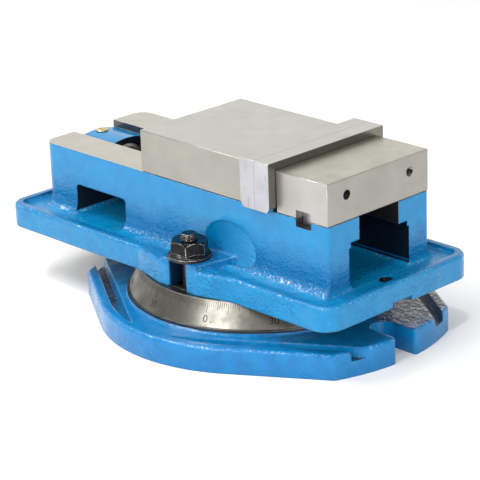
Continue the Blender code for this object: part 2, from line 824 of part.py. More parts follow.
def make_pad(side, sign):
    """The raised seat of a clamping bolt's washer, wider at the wall than at the ear's end."""
    outer = EAR_REACH - PAD_INSET
    inner = BED_WIDTH / 2 - SCOOP_SINK - OVERRUN
    wide = PAD_HALF_LENGTH + PAD_SPREAD
    outline = rounded(
        mirrored(
            [
                (wide, sign * inner, 0),
                (PAD_HALF_LENGTH, sign * outer, PAD_CORNER_ROUND),
            ]
        )
    )
    bottom = FLOOR - FLANGE_HEIGHT / 4
    pad = slab(f"pad_{side}", outline, bottom, PAD_TOP)
    soften(pad, PAD_EDGE_ROUND, lambda co: co.z > 0)
    return pad


def jaw_bolt_places():
    for setback in (JAW_BOLT_SETBACK, JAW_BOLT_SETBACK + JAW_BOLT_SPACING):
        for sign in (-1, 1):
            yield BED_END_X - setback, sign * JAW_BOLT_OFFSET


def bed_openings():
    """Cutters for the slot, the channel below it, the side windows and the bridge's top."""
    slot = SLOT_WIDTH / 2
    channel = CHANNEL_WIDTH / 2
    cast = CAST_CHANNEL_WIDTH / 2
    sill = FLOOR + CHANNEL_FLOOR_RISE
    front = BED_END_X + OVERRUN
    machined_bottom = LEDGE_BOTTOM - CHANNEL_MACHINED_HEIGHT
    rise = BRIDGE_EDGE_DEPTH - BRIDGE_CROWN_DEPTH
    crown_radius = (slot**2 + rise**2) / (2 * rise)
    crown_centre = WAYS - BRIDGE_CROWN_DEPTH - crown_radius
    sweep = math.asin(slot / crown_radius)
    crown = [
        (crown_radius * math.sin(angle), crown_centre + crown_radius * math.cos(angle))
        for angle in (sweep * step / ARC_STEPS for step in range(-ARC_STEPS, ARC_STEPS + 1))
    ]
    window_front = BED_END_X - WINDOW_SETBACK
    window_back = window_front - WINDOW_LENGTH
    window_top = WAYS - WINDOW_TOP_DEPTH
    half_width = BED_WIDTH / 2 + WALL_FOOT_RADIUS
    cast_bottom = [
        (cast, machined_bottom, 0),
        (cast, sill, CAST_CHANNEL_ROUND),
    ]
    return [
        brick("slot_cutter", (BRIDGE_FRONT_X, -slot, LEDGE_BOTTOM), (front, slot, WAYS + OVERRUN)),
        slab(
            "channel_cutter",
            rounded(
                [
                    (channel, LEDGE_BOTTOM, 0),
                    (channel, machined_bottom, 0),
                    *cast_bottom,
                    *[(-y, z, r) for y, z, r in reversed(cast_bottom)],
                    (-channel, machined_bottom, 0),
                    (-channel, LEDGE_BOTTOM, 0),
                ]
            ),
            BRIDGE_FRONT_X,
            front + END_FOOT_RADIUS,
            drawn=DRAWN_FROM_END,
        ),
        slab(
            "window_cutter",
            rounded(
                [
                    (window_back, window_top, WINDOW_ROUND),
                    (window_front, window_top, WINDOW_ROUND),
                    (window_front, sill, WINDOW_ROUND),
                    (window_back, sill, WINDOW_ROUND),
                ]
            ),
            -half_width - OVERRUN,
            half_width + OVERRUN,
            drawn=DRAWN_FROM_SIDE,
        ),
        slab(
            "bridge_top_cutter",
            [*crown, (slot, WAYS + OVERRUN), (-slot, WAYS + OVERRUN)],
            BED_BACK_X - OVERRUN,
            BRIDGE_FRONT_X + OVERRUN,
            drawn=DRAWN_FROM_END,
        ),
        brick(
            "bridge_back_cutter",
            (BED_BACK_X - OVERRUN, -slot, WAYS - WINDOW_TOP_DEPTH - COLLAR_RADIUS),
            (BRIDGE_BACK_X, slot, WAYS + OVERRUN),
        ),
    ]


def bed_bores():
    """Cutters for the screw, its bearing and bush, the oil cup, the pivot and the bolts."""
    shaft = SCREW_SHAFT_RADIUS + RUN_GAP
    bush = shaft + BUSH_WALL + SEAT_GAP
    cup_x = BRIDGE_BACK_X + OIL_CUP_SETBACK
    cutters = [
        rod(
            "bearing_pocket_cutter",
            BEARING_RADIUS + SEAT_GAP,
            (BEARING_POCKET_X, 0, SCREW_AXIS),
            (BRIDGE_FRONT_X + OVERRUN, 0, SCREW_AXIS),
            sides=ROUND_SIDES,
        ),
        rod(
            "bush_bore_cutter",
            bush,
            (BED_BACK_X - OVERRUN, 0, SCREW_AXIS),
            (BRIDGE_FRONT_X, 0, SCREW_AXIS),
            sides=ROUND_SIDES,
        ),
        rod(
            "oil_hole_cutter",
            OIL_CUP_STEM_RADIUS + SEAT_GAP,
            (cup_x, 0, SCREW_AXIS),
            (cup_x, 0, WAYS + OVERRUN),
        ),
        rod(
            "pivot_socket_cutter",
            PIVOT_RADIUS + SEAT_GAP,
            (0, 0, FLANGE_BOTTOM - OVERRUN),
            (0, 0, FLANGE_BOTTOM + PIVOT_RISE + SEAT_GAP),
            sides=ROUND_SIDES,
        ),
    ]
    grip = WAYS - JAW_BOLT_GRIP
    for number, (x, y) in enumerate(jaw_bolt_places()):
        cutters.append(
            rod(
                f"jaw_bolt_head_cutter_{number}",
                JAW_BOLT_HEAD_RADIUS + RUN_GAP,
                (x, y, FLANGE_BOTTOM - OVERRUN),
                (x, y, grip),
            )
        )
        cutters.append(
            rod(
                f"jaw_bolt_shank_cutter_{number}",
                JAW_BOLT_RADIUS + RUN_GAP,
                (x, y, grip - SEAT_GAP),
                (x, y, WAYS + OVERRUN),
            )
        )
    return cutters


def key_cutters():
    """Cutters for the cross key and for the keyway and its screw holes under the flange."""
    front = BED_END_X + FLANGE_FRONT
    back = BED_BACK_X - FLANGE_BACK
    keyway = brick(
        "keyway_cutter",
        (back - OVERRUN, -KEYWAY_WIDTH / 2, FLANGE_BOTTOM - OVERRUN),
        (front + OVERRUN, KEYWAY_WIDTH / 2, FLANGE_BOTTOM + KEYWAY_DEPTH),
    )
    cross = brick(
        "cross_key_bed_cutter",
        (
            BED_END_X - CROSS_KEY_SETBACK - CROSS_KEY_WIDTH,
            -BED_WIDTH / 2 - OVERRUN,
            WAYS - CROSS_KEY_SINK,
        ),
        (BED_END_X - CROSS_KEY_SETBACK, BED_WIDTH / 2 + OVERRUN, WAYS + OVERRUN),
    )
    cutters = [keyway, cross]
    for side, x in (("front", front - KEY_HOLE_SETBACK), ("back", back + KEY_HOLE_SETBACK)):
        cutters.append(
            rod(
                f"key_hole_{side}_cutter",
                KEY_HOLE_RADIUS,
                (x, 0, FLANGE_BOTTOM),
                (x, 0, FLOOR + OVERRUN),
            )
        )
        cutters.append(
            rod(
                f"key_hole_sink_{side}_cutter",
                KEY_HOLE_SINK_RADIUS,
                (x, 0, FLOOR - KEY_HOLE_SINK_DEPTH),
                (x, 0, FLOOR + OVERRUN),
            )
        )
    return cutters


def make_scoop(side, sign):
    """A shallow hollow in the wall beside a clamping bolt, which leaves room for a spanner."""
    bm = bmesh.new()
    bmesh.ops.create_uvsphere(bm, u_segments=24, v_segments=12, radius=1)
    bmesh.ops.scale(bm, vec=(SCOOP_HALF_LENGTH, SCOOP_SINK, SCOOP_HALF_HEIGHT), verts=bm.verts)
    place = (SCOOP_CENTRE_X, sign * BED_WIDTH / 2, WAYS - SCOOP_CENTRE_DEPTH)
    return stand(f"scoop_{side}_cutter", mesh_of(f"scoop_{side}_cutter", bm), place)


def make_bed():
    bed = slab(
        "bed_casting", flange_outline(), FLANGE_BOTTOM, RIM_TOP, BLUE_ENAMEL, SWIVEL
    )
    soften(bed, FLANGE_EDGE_ROUND, lambda co: co.z > 0)
    front = BED_END_X + FLANGE_FRONT - RIM_WIDTH
    back = BED_BACK_X - FLANGE_BACK + RIM_WIDTH
    half = FLANGE_WIDTH / 2 - RIM_WIDTH
    corner = FLANGE_CORNER_ROUND - RIM_WIDTH
    trough = slab(
        "bed_trough_cutter",
        rounded(
            [
                (front, half, corner),
                (back, half, corner),
                (back, -half, corner),
                (front, -half, corner),
            ]
        ),
        FLOOR,
        RIM_TOP + OVERRUN,
    )
    soften(trough, TROUGH_DEPTH / 2, lambda co: co.z < 0)
    cut(bed, trough)
    join(bed, make_walls())
    for side, sign in (("near", -1), ("far", 1)):
        cut(bed, make_scoop(side, sign))
        join(bed, make_pad(side, sign))
        bolt_y = sign * BOLT_CIRCLE_RADIUS
        cut(
            bed,
            rod(
                f"spot_face_{side}_cutter",
                WASHER_RADIUS + SPOT_FACE_MARGIN,
                (0, bolt_y, PAD_TOP),
                (0, bolt_y, PAD_TOP + SPOT_FACE_HEIGHT),
                sides=ROUND_SIDES,
            ),
        )
    outline = slot_outline(
        EAR_SLOT_WIDTH,
        BOLT_CIRCLE_RADIUS - EAR_SLOT_SETBACK - EAR_SLOT_WIDTH / 2,
        EAR_REACH,
        EAR_SLOT_MOUTH_ROUND,
    )
    for side, angle in (("near", -math.pi / 2), ("far", math.pi / 2)):
        cut(
            bed,
            slab(
                f"ear_slot_{side}_cutter",
                turned_outline(outline, angle),
                FLANGE_BOTTOM - OVERRUN,
                PAD_TOP + OVERRUN,
            ),
        )
    cut(bed, *bed_openings())
    cut(bed, *bed_bores())
    cut(bed, *key_cutters())


def socket_cutter(name, radius, head_end, into):
    """A hexagon socket sunk into a screw head, from its end face along the unit vector into."""
    across = radius * SOCKET_SHARE
    into = Vector(into)
    start = Vector(head_end) - into * OVERRUN
    return rod(name, across, start, Vector(head_end) + into * radius * 2 * SOCKET_DEPTH_SHARE, sides=6)


def cap_screw(name, head_radius, head_height, radius, seat, tip, surface, carrier):
    """A socket cap screw whose head stands on its seat and whose shank runs on to its tip."""
    run = (Vector(tip) - Vector(seat)).normalized()
    head_end = Vector(seat) - run * head_height
    head = rod(name, head_radius, head_end, seat, surface, carrier)
    shank = rod(f"{name}_shank", radius, Vector(seat) - run * head_height / 2, tip)
    join(head, shank)
    cut(head, socket_cutter(f"{name}_socket_cutter", head_radius, head_end, run))
    return head


def make_fixed_jaw():
    half = BED_WIDTH / 2
    back = BED_END_X - FIXED_JAW_LENGTH
    jaw = brick(
        "fixed_jaw",
        (back, -half, WAYS + SEAT_GAP),
        (BED_END_X, half, WAYS + FIXED_JAW_HEIGHT),
        GROUND_STEEL,
        SWIVEL,
    )
    soften(jaw, JAW_EDGE_BREAK, lambda co: True, segments=1)
    cut(
        jaw,
        brick(
            "cross_key_jaw_cutter",
            (BED_END_X - CROSS_KEY_SETBACK - CROSS_KEY_WIDTH, -half - OVERRUN, WAYS - OVERRUN),
            (BED_END_X - CROSS_KEY_SETBACK, half + OVERRUN, WAYS + CROSS_KEY_RISE),
        ),
    )
    for side, sign in (("near", -1), ("far", 1)):
        stop_y = sign * STOP_HOLE_OFFSET
        stop_z = WAYS + STOP_HOLE_HEIGHT
        screw_y = sign * PLATE_SCREW_OFFSET
        screw_z = WAYS + PLATE_SCREW_HEIGHT
        cut(
            jaw,
            rod(
                f"stop_hole_{side}_cutter",
                STOP_HOLE_RADIUS,
                (BED_END_X - STOP_HOLE_DEPTH, stop_y, stop_z),
                (BED_END_X + OVERRUN, stop_y, stop_z),
            ),
            rod(
                f"fixed_plate_screw_{side}_cutter",
                PLATE_SCREW_RADIUS + RUN_GAP,
                (back - OVERRUN, screw_y, screw_z),
                (back + PLATE_SCREW_REACH + PLATE_SCREW_END_GAP, screw_y, screw_z),
            ),
        )
    for number, (x, y) in enumerate(jaw_bolt_places()):
        cut(
            jaw,
            rod(
                f"jaw_bolt_tap_cutter_{number}",
                JAW_BOLT_RADIUS + RUN_GAP,
                (x, y, WAYS - OVERRUN),
                (x, y, WAYS + JAW_BOLT_REACH + SEAT_GAP),
            ),
        )
    key_half = half - CROSS_KEY_END_GAP
    brick(
        "fixed_jaw_key",
        (
            BED_END_X - CROSS_KEY_SETBACK - CROSS_KEY_WIDTH + SEAT_GAP,
            -key_half,
            WAYS - CROSS_KEY_SINK + SEAT_GAP,
        ),
        (
            BED_END_X - CROSS_KEY_SETBACK - SEAT_GAP,
            key_half,
            WAYS + CROSS_KEY_RISE - SEAT_GAP,
        ),
        BRIGHT_STEEL,
        SWIVEL,
    )
    for number, (x, y) in enumerate(jaw_bolt_places()):
        cap_screw(
            f"fixed_jaw_bolt_{number + 1}",
            JAW_BOLT_HEAD_RADIUS,
            JAW_BOLT_HEAD_HEIGHT,
            JAW_BOLT_RADIUS,
            (x, y, WAYS - JAW_BOLT_GRIP - SEAT_GAP),
            (x, y, WAYS + JAW_BOLT_REACH),
            BLACK_OXIDE,
            SWIVEL,
        )


def make_plate(name, screw_name, face_x, into, surface, carrier):
    """A hardened jaw plate whose clamping face stands at face_x, and the two screws that hold it."""
    back_x = face_x + into * PLATE_THICKNESS
    half = PLATE_WIDTH / 2
    bottom = WAYS + PLATE_LIFT
    top = bottom + PLATE_HEIGHT
    outline = [
        (face_x, top),
        (back_x, top),
        (back_x, bottom + PLATE_CHAMFER_RISE),
        (back_x - into * PLATE_CHAMFER_RUN, bottom),
        (face_x, bottom),
    ]
    plate = slab(name, outline, -half, half, surface, carrier, drawn=DRAWN_FROM_SIDE)
    height = WAYS + PLATE_SCREW_HEIGHT
    sink = PLATE_SCREW_HEAD_SINK + PLATE_SCREW_HEAD_HEIGHT
    for side, sign in (("near", -1), ("far", 1)):
        y = sign * PLATE_SCREW_OFFSET
        seat_x = face_x + into * (sink + SEAT_GAP)
        cut(
            plate,
            rod(
                f"{name}_head_{side}_cutter",
                PLATE_SCREW_HEAD_RADIUS + RUN_GAP,
                (face_x - into * OVERRUN, y, height),
                (seat_x, y, height),
            ),
            rod(
                f"{name}_shank_{side}_cutter",
                PLATE_SCREW_RADIUS + RUN_GAP,
                (face_x, y, height),
                (back_x + into * OVERRUN, y, height),
            ),
        )
        cap_screw(
            f"{screw_name}_{side}",
            PLATE_SCREW_HEAD_RADIUS,
            PLATE_SCREW_HEAD_HEIGHT,
            PLATE_SCREW_RADIUS,
            (face_x + into * sink, y, height),
            (back_x + into * PLATE_SCREW_REACH, y, height),
            BLACK_OXIDE,
            carrier,
        )


def ball_line(x, shift):
    """The height, at x, of the sloped plane that the jaw nut pushes on, moved along Z by shift."""
    return BALL_Z + (x - BALL_X) + shift


def make_movable_jaw():
    half = BED_WIDTH / 2
    tongue = SLOT_WIDTH / 2 - RUN_GAP
    jaw = brick(
        "movable_jaw",
        (JAW_BACK_X, -half, WAYS + SEAT_GAP),
        (JAW_FRONT_X, half, WAYS + MOVABLE_JAW_HEIGHT),
        GROUND_STEEL,
        JAW_SLIDE,
    )
    soften(jaw, JAW_EDGE_BREAK, lambda co: True, segments=1)
    block_front = JAW_FRONT_X - NUT_BLOCK_SETBACK
    tongue_back = block_front + TONGUE_NUT_GAP
    join(
        jaw,
        brick(
            "guide_tongue",
            (tongue_back, -tongue, WAYS - TONGUE_DEPTH),
            (JAW_FRONT_X - TONGUE_SETBACK, tongue, WAYS + TONGUE_DEPTH),
        ),
    )
    neck_back = block_front - NECK_REACH
    roof = WAYS + NECK_RISE + NECK_ROOM
    room_front = BALL_X + BALL_RADIUS
    room_back = neck_back - NECK_ROOM
    slack = -BALL_PLANE_GAP
    cavity = slab(
        "neck_room_cutter",
        [
            (room_back, WAYS - TONGUE_DEPTH - OVERRUN),
            (tongue_back, WAYS - TONGUE_DEPTH - OVERRUN),
            (tongue_back, ball_line(tongue_back, slack)),
            (room_front, ball_line(room_front, slack)),
            (room_front, roof),
            (room_back, roof),
        ],
        -NECK_WIDTH / 2 - RUN_GAP,
        NECK_WIDTH / 2 + RUN_GAP,
        drawn=DRAWN_FROM_SIDE,
    )
    bm = bmesh.new()
    bmesh.ops.create_uvsphere(bm, u_segments=24, v_segments=12, radius=BALL_RADIUS + SEAT_GAP)
    socket = stand("ball_socket_cutter", mesh_of("ball_socket_cutter", bm), (BALL_X, 0, BALL_Z))
    adjuster_z = WAYS + ADJUSTER_HEIGHT
    tapped = rod(
        "adjuster_hole_cutter",
        ADJUSTER_RADIUS + SEAT_GAP,
        (JAW_BACK_X - OVERRUN, 0, adjuster_z),
        (room_back + OVERRUN, 0, adjuster_z),
    )
    cut(jaw, cavity, socket, tapped)
    for side, sign in (("near", -1), ("far", 1)):
        y = sign * PLATE_SCREW_OFFSET
        z = WAYS + PLATE_SCREW_HEIGHT
        cut(
            jaw,
            rod(
                f"movable_plate_screw_{side}_cutter",
                PLATE_SCREW_RADIUS + RUN_GAP,
                (JAW_FRONT_X - PLATE_SCREW_REACH - PLATE_SCREW_END_GAP, y, z),
                (JAW_FRONT_X + OVERRUN, y, z),
            ),
        )


def make_half_ball():
    """A ball cut in half by the sloped plane, its dome down and forward in the movable jaw."""
    bm = bmesh.new()
    bmesh.ops.create_uvsphere(bm, u_segments=20, v_segments=10, radius=BALL_RADIUS)
    slope = Vector((-1, 0, 1)).normalized()
    bmesh.ops.bisect_plane(
        bm,
        geom=[*bm.verts, *bm.edges, *bm.faces],
        dist=WELD,
        plane_co=(0, 0, 0),
        plane_no=slope,
        clear_outer=True,
    )
    rim = [edge for edge in bm.edges if edge.is_boundary]
    bmesh.ops.holes_fill(bm, edges=rim)
    bmesh.ops.recalc_face_normals(bm, faces=bm.faces)
    stand("half_ball", mesh_of("half_ball", bm), (BALL_X, 0, BALL_Z), BRIGHT_STEEL, JAW_SLIDE)


def make_jaw_nut():
    front = JAW_FRONT_X - NUT_BLOCK_SETBACK
    back = front - NUT_BLOCK_LENGTH
    half = CHANNEL_WIDTH / 2 - NUT_BLOCK_SIDE_GAP
    hump = SLOT_WIDTH / 2 - NUT_BLOCK_SIDE_GAP
    block_top = LEDGE_BOTTOM - RUN_GAP
    hump_top = WAYS - NUT_HUMP_DEPTH
    block_bottom = WAYS - NUT_BLOCK_BOTTOM
    nut = slab(
        "jaw_nut",
        [
            (half, block_bottom),
            (half, block_top),
            (hump, block_top),
            (hump, hump_top),
            (-hump, hump_top),
            (-hump, block_top),
            (-half, block_top),
            (-half, block_bottom),
        ],
        back,
        front,
        BRIGHT_STEEL,
        JAW_SLIDE,
        drawn=DRAWN_FROM_END,
    )
    root = LEDGE_BOTTOM + LEDGE_THICKNESS / 4
    neck_back = front - NECK_REACH
    neck_front = BALL_X + BALL_RADIUS - NECK_ROOM
    slope_foot = BALL_X - BALL_RADIUS - NECK_ROOM / 2
    lift = SEAT_GAP * math.sqrt(2)
    neck = slab(
        "nut_neck",
        [
            (neck_back, root),
            (slope_foot, root),
            (slope_foot, ball_line(slope_foot, lift)),
            (neck_front, ball_line(neck_front, lift)),
            (neck_front, WAYS + NECK_RISE),
            (neck_back, WAYS + NECK_RISE),
        ],
        -NECK_WIDTH / 2,
        NECK_WIDTH / 2,
        drawn=DRAWN_FROM_SIDE,
    )
    join(nut, neck)
    cut(
        nut,
        rod(
            "nut_bore_cutter",
            SCREW_THREAD_RADIUS + RUN_GAP,
            (back - OVERRUN, 0, SCREW_AXIS),
            (front + OVERRUN, 0, SCREW_AXIS),
            sides=ROUND_SIDES,
        ),
    )


def make_adjuster():
    start = JAW_FRONT_X - NUT_BLOCK_SETBACK - NECK_REACH - SEAT_GAP
    z = WAYS + ADJUSTER_HEIGHT
    end = start - ADJUSTER_LENGTH
    screw = rod(
        "jaw_adjusting_screw", ADJUSTER_RADIUS, (end, 0, z), (start, 0, z), BLACK_OXIDE, JAW_SLIDE
    )
    cut(screw, socket_cutter("adjuster_socket_cutter", ADJUSTER_RADIUS, (end, 0, z), (1, 0, 0)))


def make_lead_screw():
    tip_x = BED_END_X - SCREW_TIP_SETBACK
    hex_x = COLLAR_BACK_X - SEAT_GAP
    end_x = hex_x - HEX_LENGTH
    # The profile's heights run along X from the collar's front face, so the tip is its top.
    tip = tip_x - BRIDGE_FRONT_X
    collar_front = SCREW_COLLAR_FRONT_X - BRIDGE_FRONT_X
    collar_back = SCREW_COLLAR_BACK_X - BRIDGE_FRONT_X
    shaft_end = hex_x - BRIDGE_FRONT_X
    screw = turned(
        "lead_screw",
        [
            (0, tip),
            (SCREW_THREAD_RADIUS - SCREW_TIP_CHAMFER, tip),
            (SCREW_THREAD_RADIUS, tip - SCREW_TIP_CHAMFER),
            (SCREW_THREAD_RADIUS, collar_front),
            (SCREW_COLLAR_RADIUS, collar_front),
            (SCREW_COLLAR_RADIUS, collar_back),
            (SCREW_SHAFT_RADIUS, collar_back),
            (SCREW_SHAFT_RADIUS, shaft_end),
            (0, shaft_end),
        ],
        (BRIDGE_FRONT_X, 0, SCREW_AXIS),
        BRIGHT_STEEL,
        SCREW_SPIN,
        along_x=True,
    )
    corner_radius = HEX_WIDTH / math.sqrt(3)
    drive = rod(
        "drive_hexagon",
        corner_radius,
        (end_x, 0, SCREW_AXIS),
        (hex_x + COLLAR_LENGTH / 2, 0, SCREW_AXIS),
        sides=6,
    )
    join(screw, drive)


def tube(name, outer, inner, back_x, front_x, surface, carrier):
    """A plain ring or bush on the lead screw's axis."""
    length = front_x - back_x
    return turned(
        name,
        [(inner, length), (outer, length), (outer, 0), (inner, 0)],
        (back_x, 0, SCREW_AXIS),
        surface,
        carrier,
        along_x=True,
    )


def make_bearing():
    shaft = SCREW_SHAFT_RADIUS + SEAT_GAP
    loose = SCREW_SHAFT_RADIUS + RUN_GAP * 2
    tube(
        "thrust_race_shaft",
        BEARING_RADIUS - RUN_GAP,
        shaft,
        BEARING_FRONT_X - RACE_THICKNESS,
        BEARING_FRONT_X,
        BRIGHT_STEEL,
        SCREW_SPIN,
    )
    tube(
        "thrust_race_housing",
        BEARING_RADIUS,
        loose,
        BEARING_BACK_X,
        BEARING_BACK_X + RACE_THICKNESS,
        BRIGHT_STEEL,
        SWIVEL,
    )
    middle_x = (BEARING_FRONT_X + BEARING_BACK_X) / 2
    track = (BEARING_RADIUS + SCREW_SHAFT_RADIUS) / 2
    pocket = BALL_BEARING_RADIUS + SEAT_GAP
    cage = tube(
        "thrust_cage",
        track + pocket + CAGE_WALL / 2,
        track - pocket - CAGE_WALL / 2,
        middle_x - CAGE_THICKNESS / 2,
        middle_x + CAGE_THICKNESS / 2,
        BRASS,
        SCREW_SPIN,
    )
    for number in range(BALL_BEARING_COUNT):
        offset = in_circle(track, math.tau * number / BALL_BEARING_COUNT)
        centre = Vector((middle_x, offset.x, SCREW_AXIS + offset.y))
        reach = Vector((CAGE_THICKNESS, 0, 0))
        hole = rod(f"cage_pocket_cutter_{number}", pocket, centre - reach, centre + reach, sides=12)
        cut(cage, hole)
        bm = bmesh.new()
        bmesh.ops.create_uvsphere(bm, u_segments=10, v_segments=6, radius=BALL_BEARING_RADIUS)
        name = f"thrust_ball_{number + 1}"
        stand(name, mesh_of(name, bm), centre, BRIGHT_STEEL, SCREW_SPIN)
    inner = SCREW_SHAFT_RADIUS + RUN_GAP
    bush = tube(
        "screw_bush",
        inner + BUSH_WALL,
        inner,
        BRIDGE_BACK_X,
        BEARING_POCKET_X - SEAT_GAP,
        BRONZE,
        SWIVEL,
    )
    cup_x = BRIDGE_BACK_X + OIL_CUP_SETBACK
    cut(
        bush,
        rod(
            "bush_oil_cutter",
            OIL_CUP_HOLE_RADIUS,
            (cup_x, 0, SCREW_AXIS),
            (cup_x, 0, SCREW_AXIS + SCREW_COLLAR_RADIUS),
            sides=12,
        ),
    )


def make_retaining_collar():
    collar = tube(
        "retaining_collar",
        COLLAR_RADIUS,
        SCREW_SHAFT_RADIUS + SEAT_GAP,
        COLLAR_BACK_X,
        COLLAR_FRONT_X,
        BRIGHT_STEEL,
        SCREW_SPIN,
    )
    middle_x = (COLLAR_BACK_X + COLLAR_FRONT_X) / 2
    seat_z = SCREW_AXIS + SCREW_SHAFT_RADIUS + SEAT_GAP
    top_z = seat_z + GRUB_LENGTH
    cut(
        collar,
        rod(
            "grub_hole_cutter",
            GRUB_RADIUS + SEAT_GAP,
            (middle_x, 0, SCREW_AXIS),
            (middle_x, 0, SCREW_AXIS + COLLAR_RADIUS + OVERRUN),
        ),
    )
    grub = rod(
        "collar_grub_screw",
        GRUB_RADIUS,
        (middle_x, 0, seat_z),
        (middle_x, 0, top_z),
        BLACK_OXIDE,
        SCREW_SPIN,
    )
    cut(grub, socket_cutter("grub_socket_cutter", GRUB_RADIUS, (middle_x, 0, top_z), (0, 0, -1)))


def make_oil_cup():
    x = BRIDGE_BACK_X + OIL_CUP_SETBACK
    seat = WAYS - BRIDGE_CROWN_DEPTH + SEAT_GAP
    top = seat + OIL_CUP_RISE
    step = OIL_CUP_RISE / 2
    turned(
        "oil_cup",
        [
            (0, top - OIL_CUP_HOLE_DEPTH),
            (OIL_CUP_HOLE_RADIUS, top - OIL_CUP_HOLE_DEPTH),
            (OIL_CUP_HOLE_RADIUS, top),
            (OIL_CUP_RADIUS - step, top),
            (OIL_CUP_RADIUS, top - step),
            (OIL_CUP_RADIUS, seat),
            (OIL_CUP_STEM_RADIUS, seat),
            (OIL_CUP_STEM_RADIUS, seat - OIL_CUP_STEM_LENGTH),
            (0, seat - OIL_CUP_STEM_LENGTH),
        ],
        (x, 0, 0),
        BRASS,
        SWIVEL,
        steps=SMALL_SIDES,
    )


def make_clamp(side, sign):
    """A T-bolt, washer and nut that clamp the bed to the base at one ear."""
    y = sign * BOLT_CIRCLE_RADIUS
    head = BOLT_HEAD_WIDTH / 2
    head_top = TSLOT_CEILING - SEAT_GAP
    washer_bottom = PAD_TOP + SEAT_GAP
    washer_top = washer_bottom + WASHER_THICKNESS
    nut_bottom = washer_top + SEAT_GAP
    nut_top = nut_bottom + NUT_HEIGHT
    stud_top = nut_top + BOLT_STAND_OUT
    bolt = brick(
        f"t_bolt_{side}",
        (-head, y - head, head_top - BOLT_HEAD_HEIGHT),
        (head, y + head, head_top),
        BLACK_OXIDE,
        SWIVEL,
    )
    stud = turned(
        f"stud_{side}",
        [
            (0, stud_top),
            (BOLT_RADIUS - BOLT_TIP_CHAMFER, stud_top),
            (BOLT_RADIUS, stud_top - BOLT_TIP_CHAMFER),
            (BOLT_RADIUS, head_top - BOLT_HEAD_HEIGHT / 2),
            (0, head_top - BOLT_HEAD_HEIGHT / 2),
        ],
        (0, y, 0),
        steps=SMALL_SIDES,
    )
    join(bolt, stud)
    hole = BOLT_RADIUS + RUN_GAP
    turned(
        f"clamp_washer_{side}",
        [
            (hole, washer_top),
            (WASHER_RADIUS - WASHER_CHAMFER, washer_top),
            (WASHER_RADIUS, washer_top - WASHER_CHAMFER),
            (WASHER_RADIUS, washer_bottom),
            (hole, washer_bottom),
        ],
        (0, y, 0),
        BLACK_OXIDE,
        SWIVEL,
    )
    flats = NUT_WIDTH / 2
    corner = NUT_WIDTH / math.sqrt(3)
    chamfer = (corner - flats) * math.tan(NUT_CHAMFER_ANGLE)
    angles = [NUT_REST_ANGLE + math.pi / 3 * step for step in range(6)]
    hexagon = [in_circle(corner, angle) + Vector((0, y)) for angle in angles]
    nut = slab(
        f"clamp_nut_{side}",
        hexagon,
        nut_bottom + NUT_SKIRT_HEIGHT / 2,
        nut_top,
        BLACK_OXIDE,
        NUT_TURNS[side],
    )
    trim = turned(
        f"nut_trim_{side}_keeper",
        [
            (0, nut_top + OVERRUN),
            (flats - OVERRUN / math.tan(NUT_CHAMFER_ANGLE), nut_top + OVERRUN),
            (corner, nut_top - chamfer),
            (corner, nut_bottom),
            (0, nut_bottom),
        ],
        (0, y, 0),
    )
    combine(nut, trim, "INTERSECT", "Chamfer")
    skirt = turned(
        f"nut_skirt_{side}",
        [
            (0, nut_bottom + NUT_SKIRT_HEIGHT),
            (flats, nut_bottom + NUT_SKIRT_HEIGHT),
            (NUT_SKIRT_RADIUS, nut_bottom + NUT_SKIRT_HEIGHT / 3),
            (NUT_SKIRT_RADIUS, nut_bottom),
            (0, nut_bottom),
        ],
        (0, y, 0),
    )
    join(nut, skirt)
    cut(
        nut,
        rod(
            f"nut_thread_{side}_cutter",
            hole,
            (0, y, nut_bottom - OVERRUN),
            (0, y, nut_top + OVERRUN),
        ),
    )


make_base()
make_degree_ring()
make_pivot()
make_bed()
make_fixed_jaw()
make_plate("fixed_jaw_plate", "fixed_plate_screw", CLAMP_FACE_X, 1, PLATE_STEEL, SWIVEL)
make_movable_jaw()
make_plate("movable_jaw_plate", "movable_plate_screw", MOVABLE_FACE_X, -1, PLATE_STEEL, JAW_SLIDE)
make_half_ball()
make_jaw_nut()
make_adjuster()
make_lead_screw()
make_bearing()
make_retaining_collar()
make_oil_cup()
for bolt_side, bolt_sign in (("near", -1), ("far", 1)):
    make_clamp(bolt_side, bolt_sign)
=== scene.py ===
# %% [markdown]
# # A swivel milling vise, dressed for its photograph
# The construction of the vise comes from its solid model: castings, jaws, screw and bolts at
# their real size, each on the body that it moves with. This lesson gives every piece the surface
# that its making left on it, and adds what is too fine for the solids: screw threads, degree
# marks with their numbers, and round balls. Everything is in metres, with +X towards the fixed
# jaw and +Z up.

# %% Load the solids
import math

import bmesh
import bpy
from mathutils import Matrix, Vector


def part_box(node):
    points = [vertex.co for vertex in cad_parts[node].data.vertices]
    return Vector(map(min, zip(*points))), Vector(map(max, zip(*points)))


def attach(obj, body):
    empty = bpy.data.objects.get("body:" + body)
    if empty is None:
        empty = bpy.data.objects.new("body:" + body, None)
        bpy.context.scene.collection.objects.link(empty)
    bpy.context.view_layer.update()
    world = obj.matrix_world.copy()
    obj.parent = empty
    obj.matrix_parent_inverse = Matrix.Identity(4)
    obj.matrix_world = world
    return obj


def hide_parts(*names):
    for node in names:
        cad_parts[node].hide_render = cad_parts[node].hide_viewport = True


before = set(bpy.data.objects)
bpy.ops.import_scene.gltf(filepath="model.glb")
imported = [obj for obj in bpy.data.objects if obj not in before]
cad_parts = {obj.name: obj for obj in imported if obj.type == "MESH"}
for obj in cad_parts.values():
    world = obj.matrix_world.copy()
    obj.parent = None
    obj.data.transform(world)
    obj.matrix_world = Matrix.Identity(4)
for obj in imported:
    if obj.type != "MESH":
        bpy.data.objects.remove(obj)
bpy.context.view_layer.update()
MM = 0.001

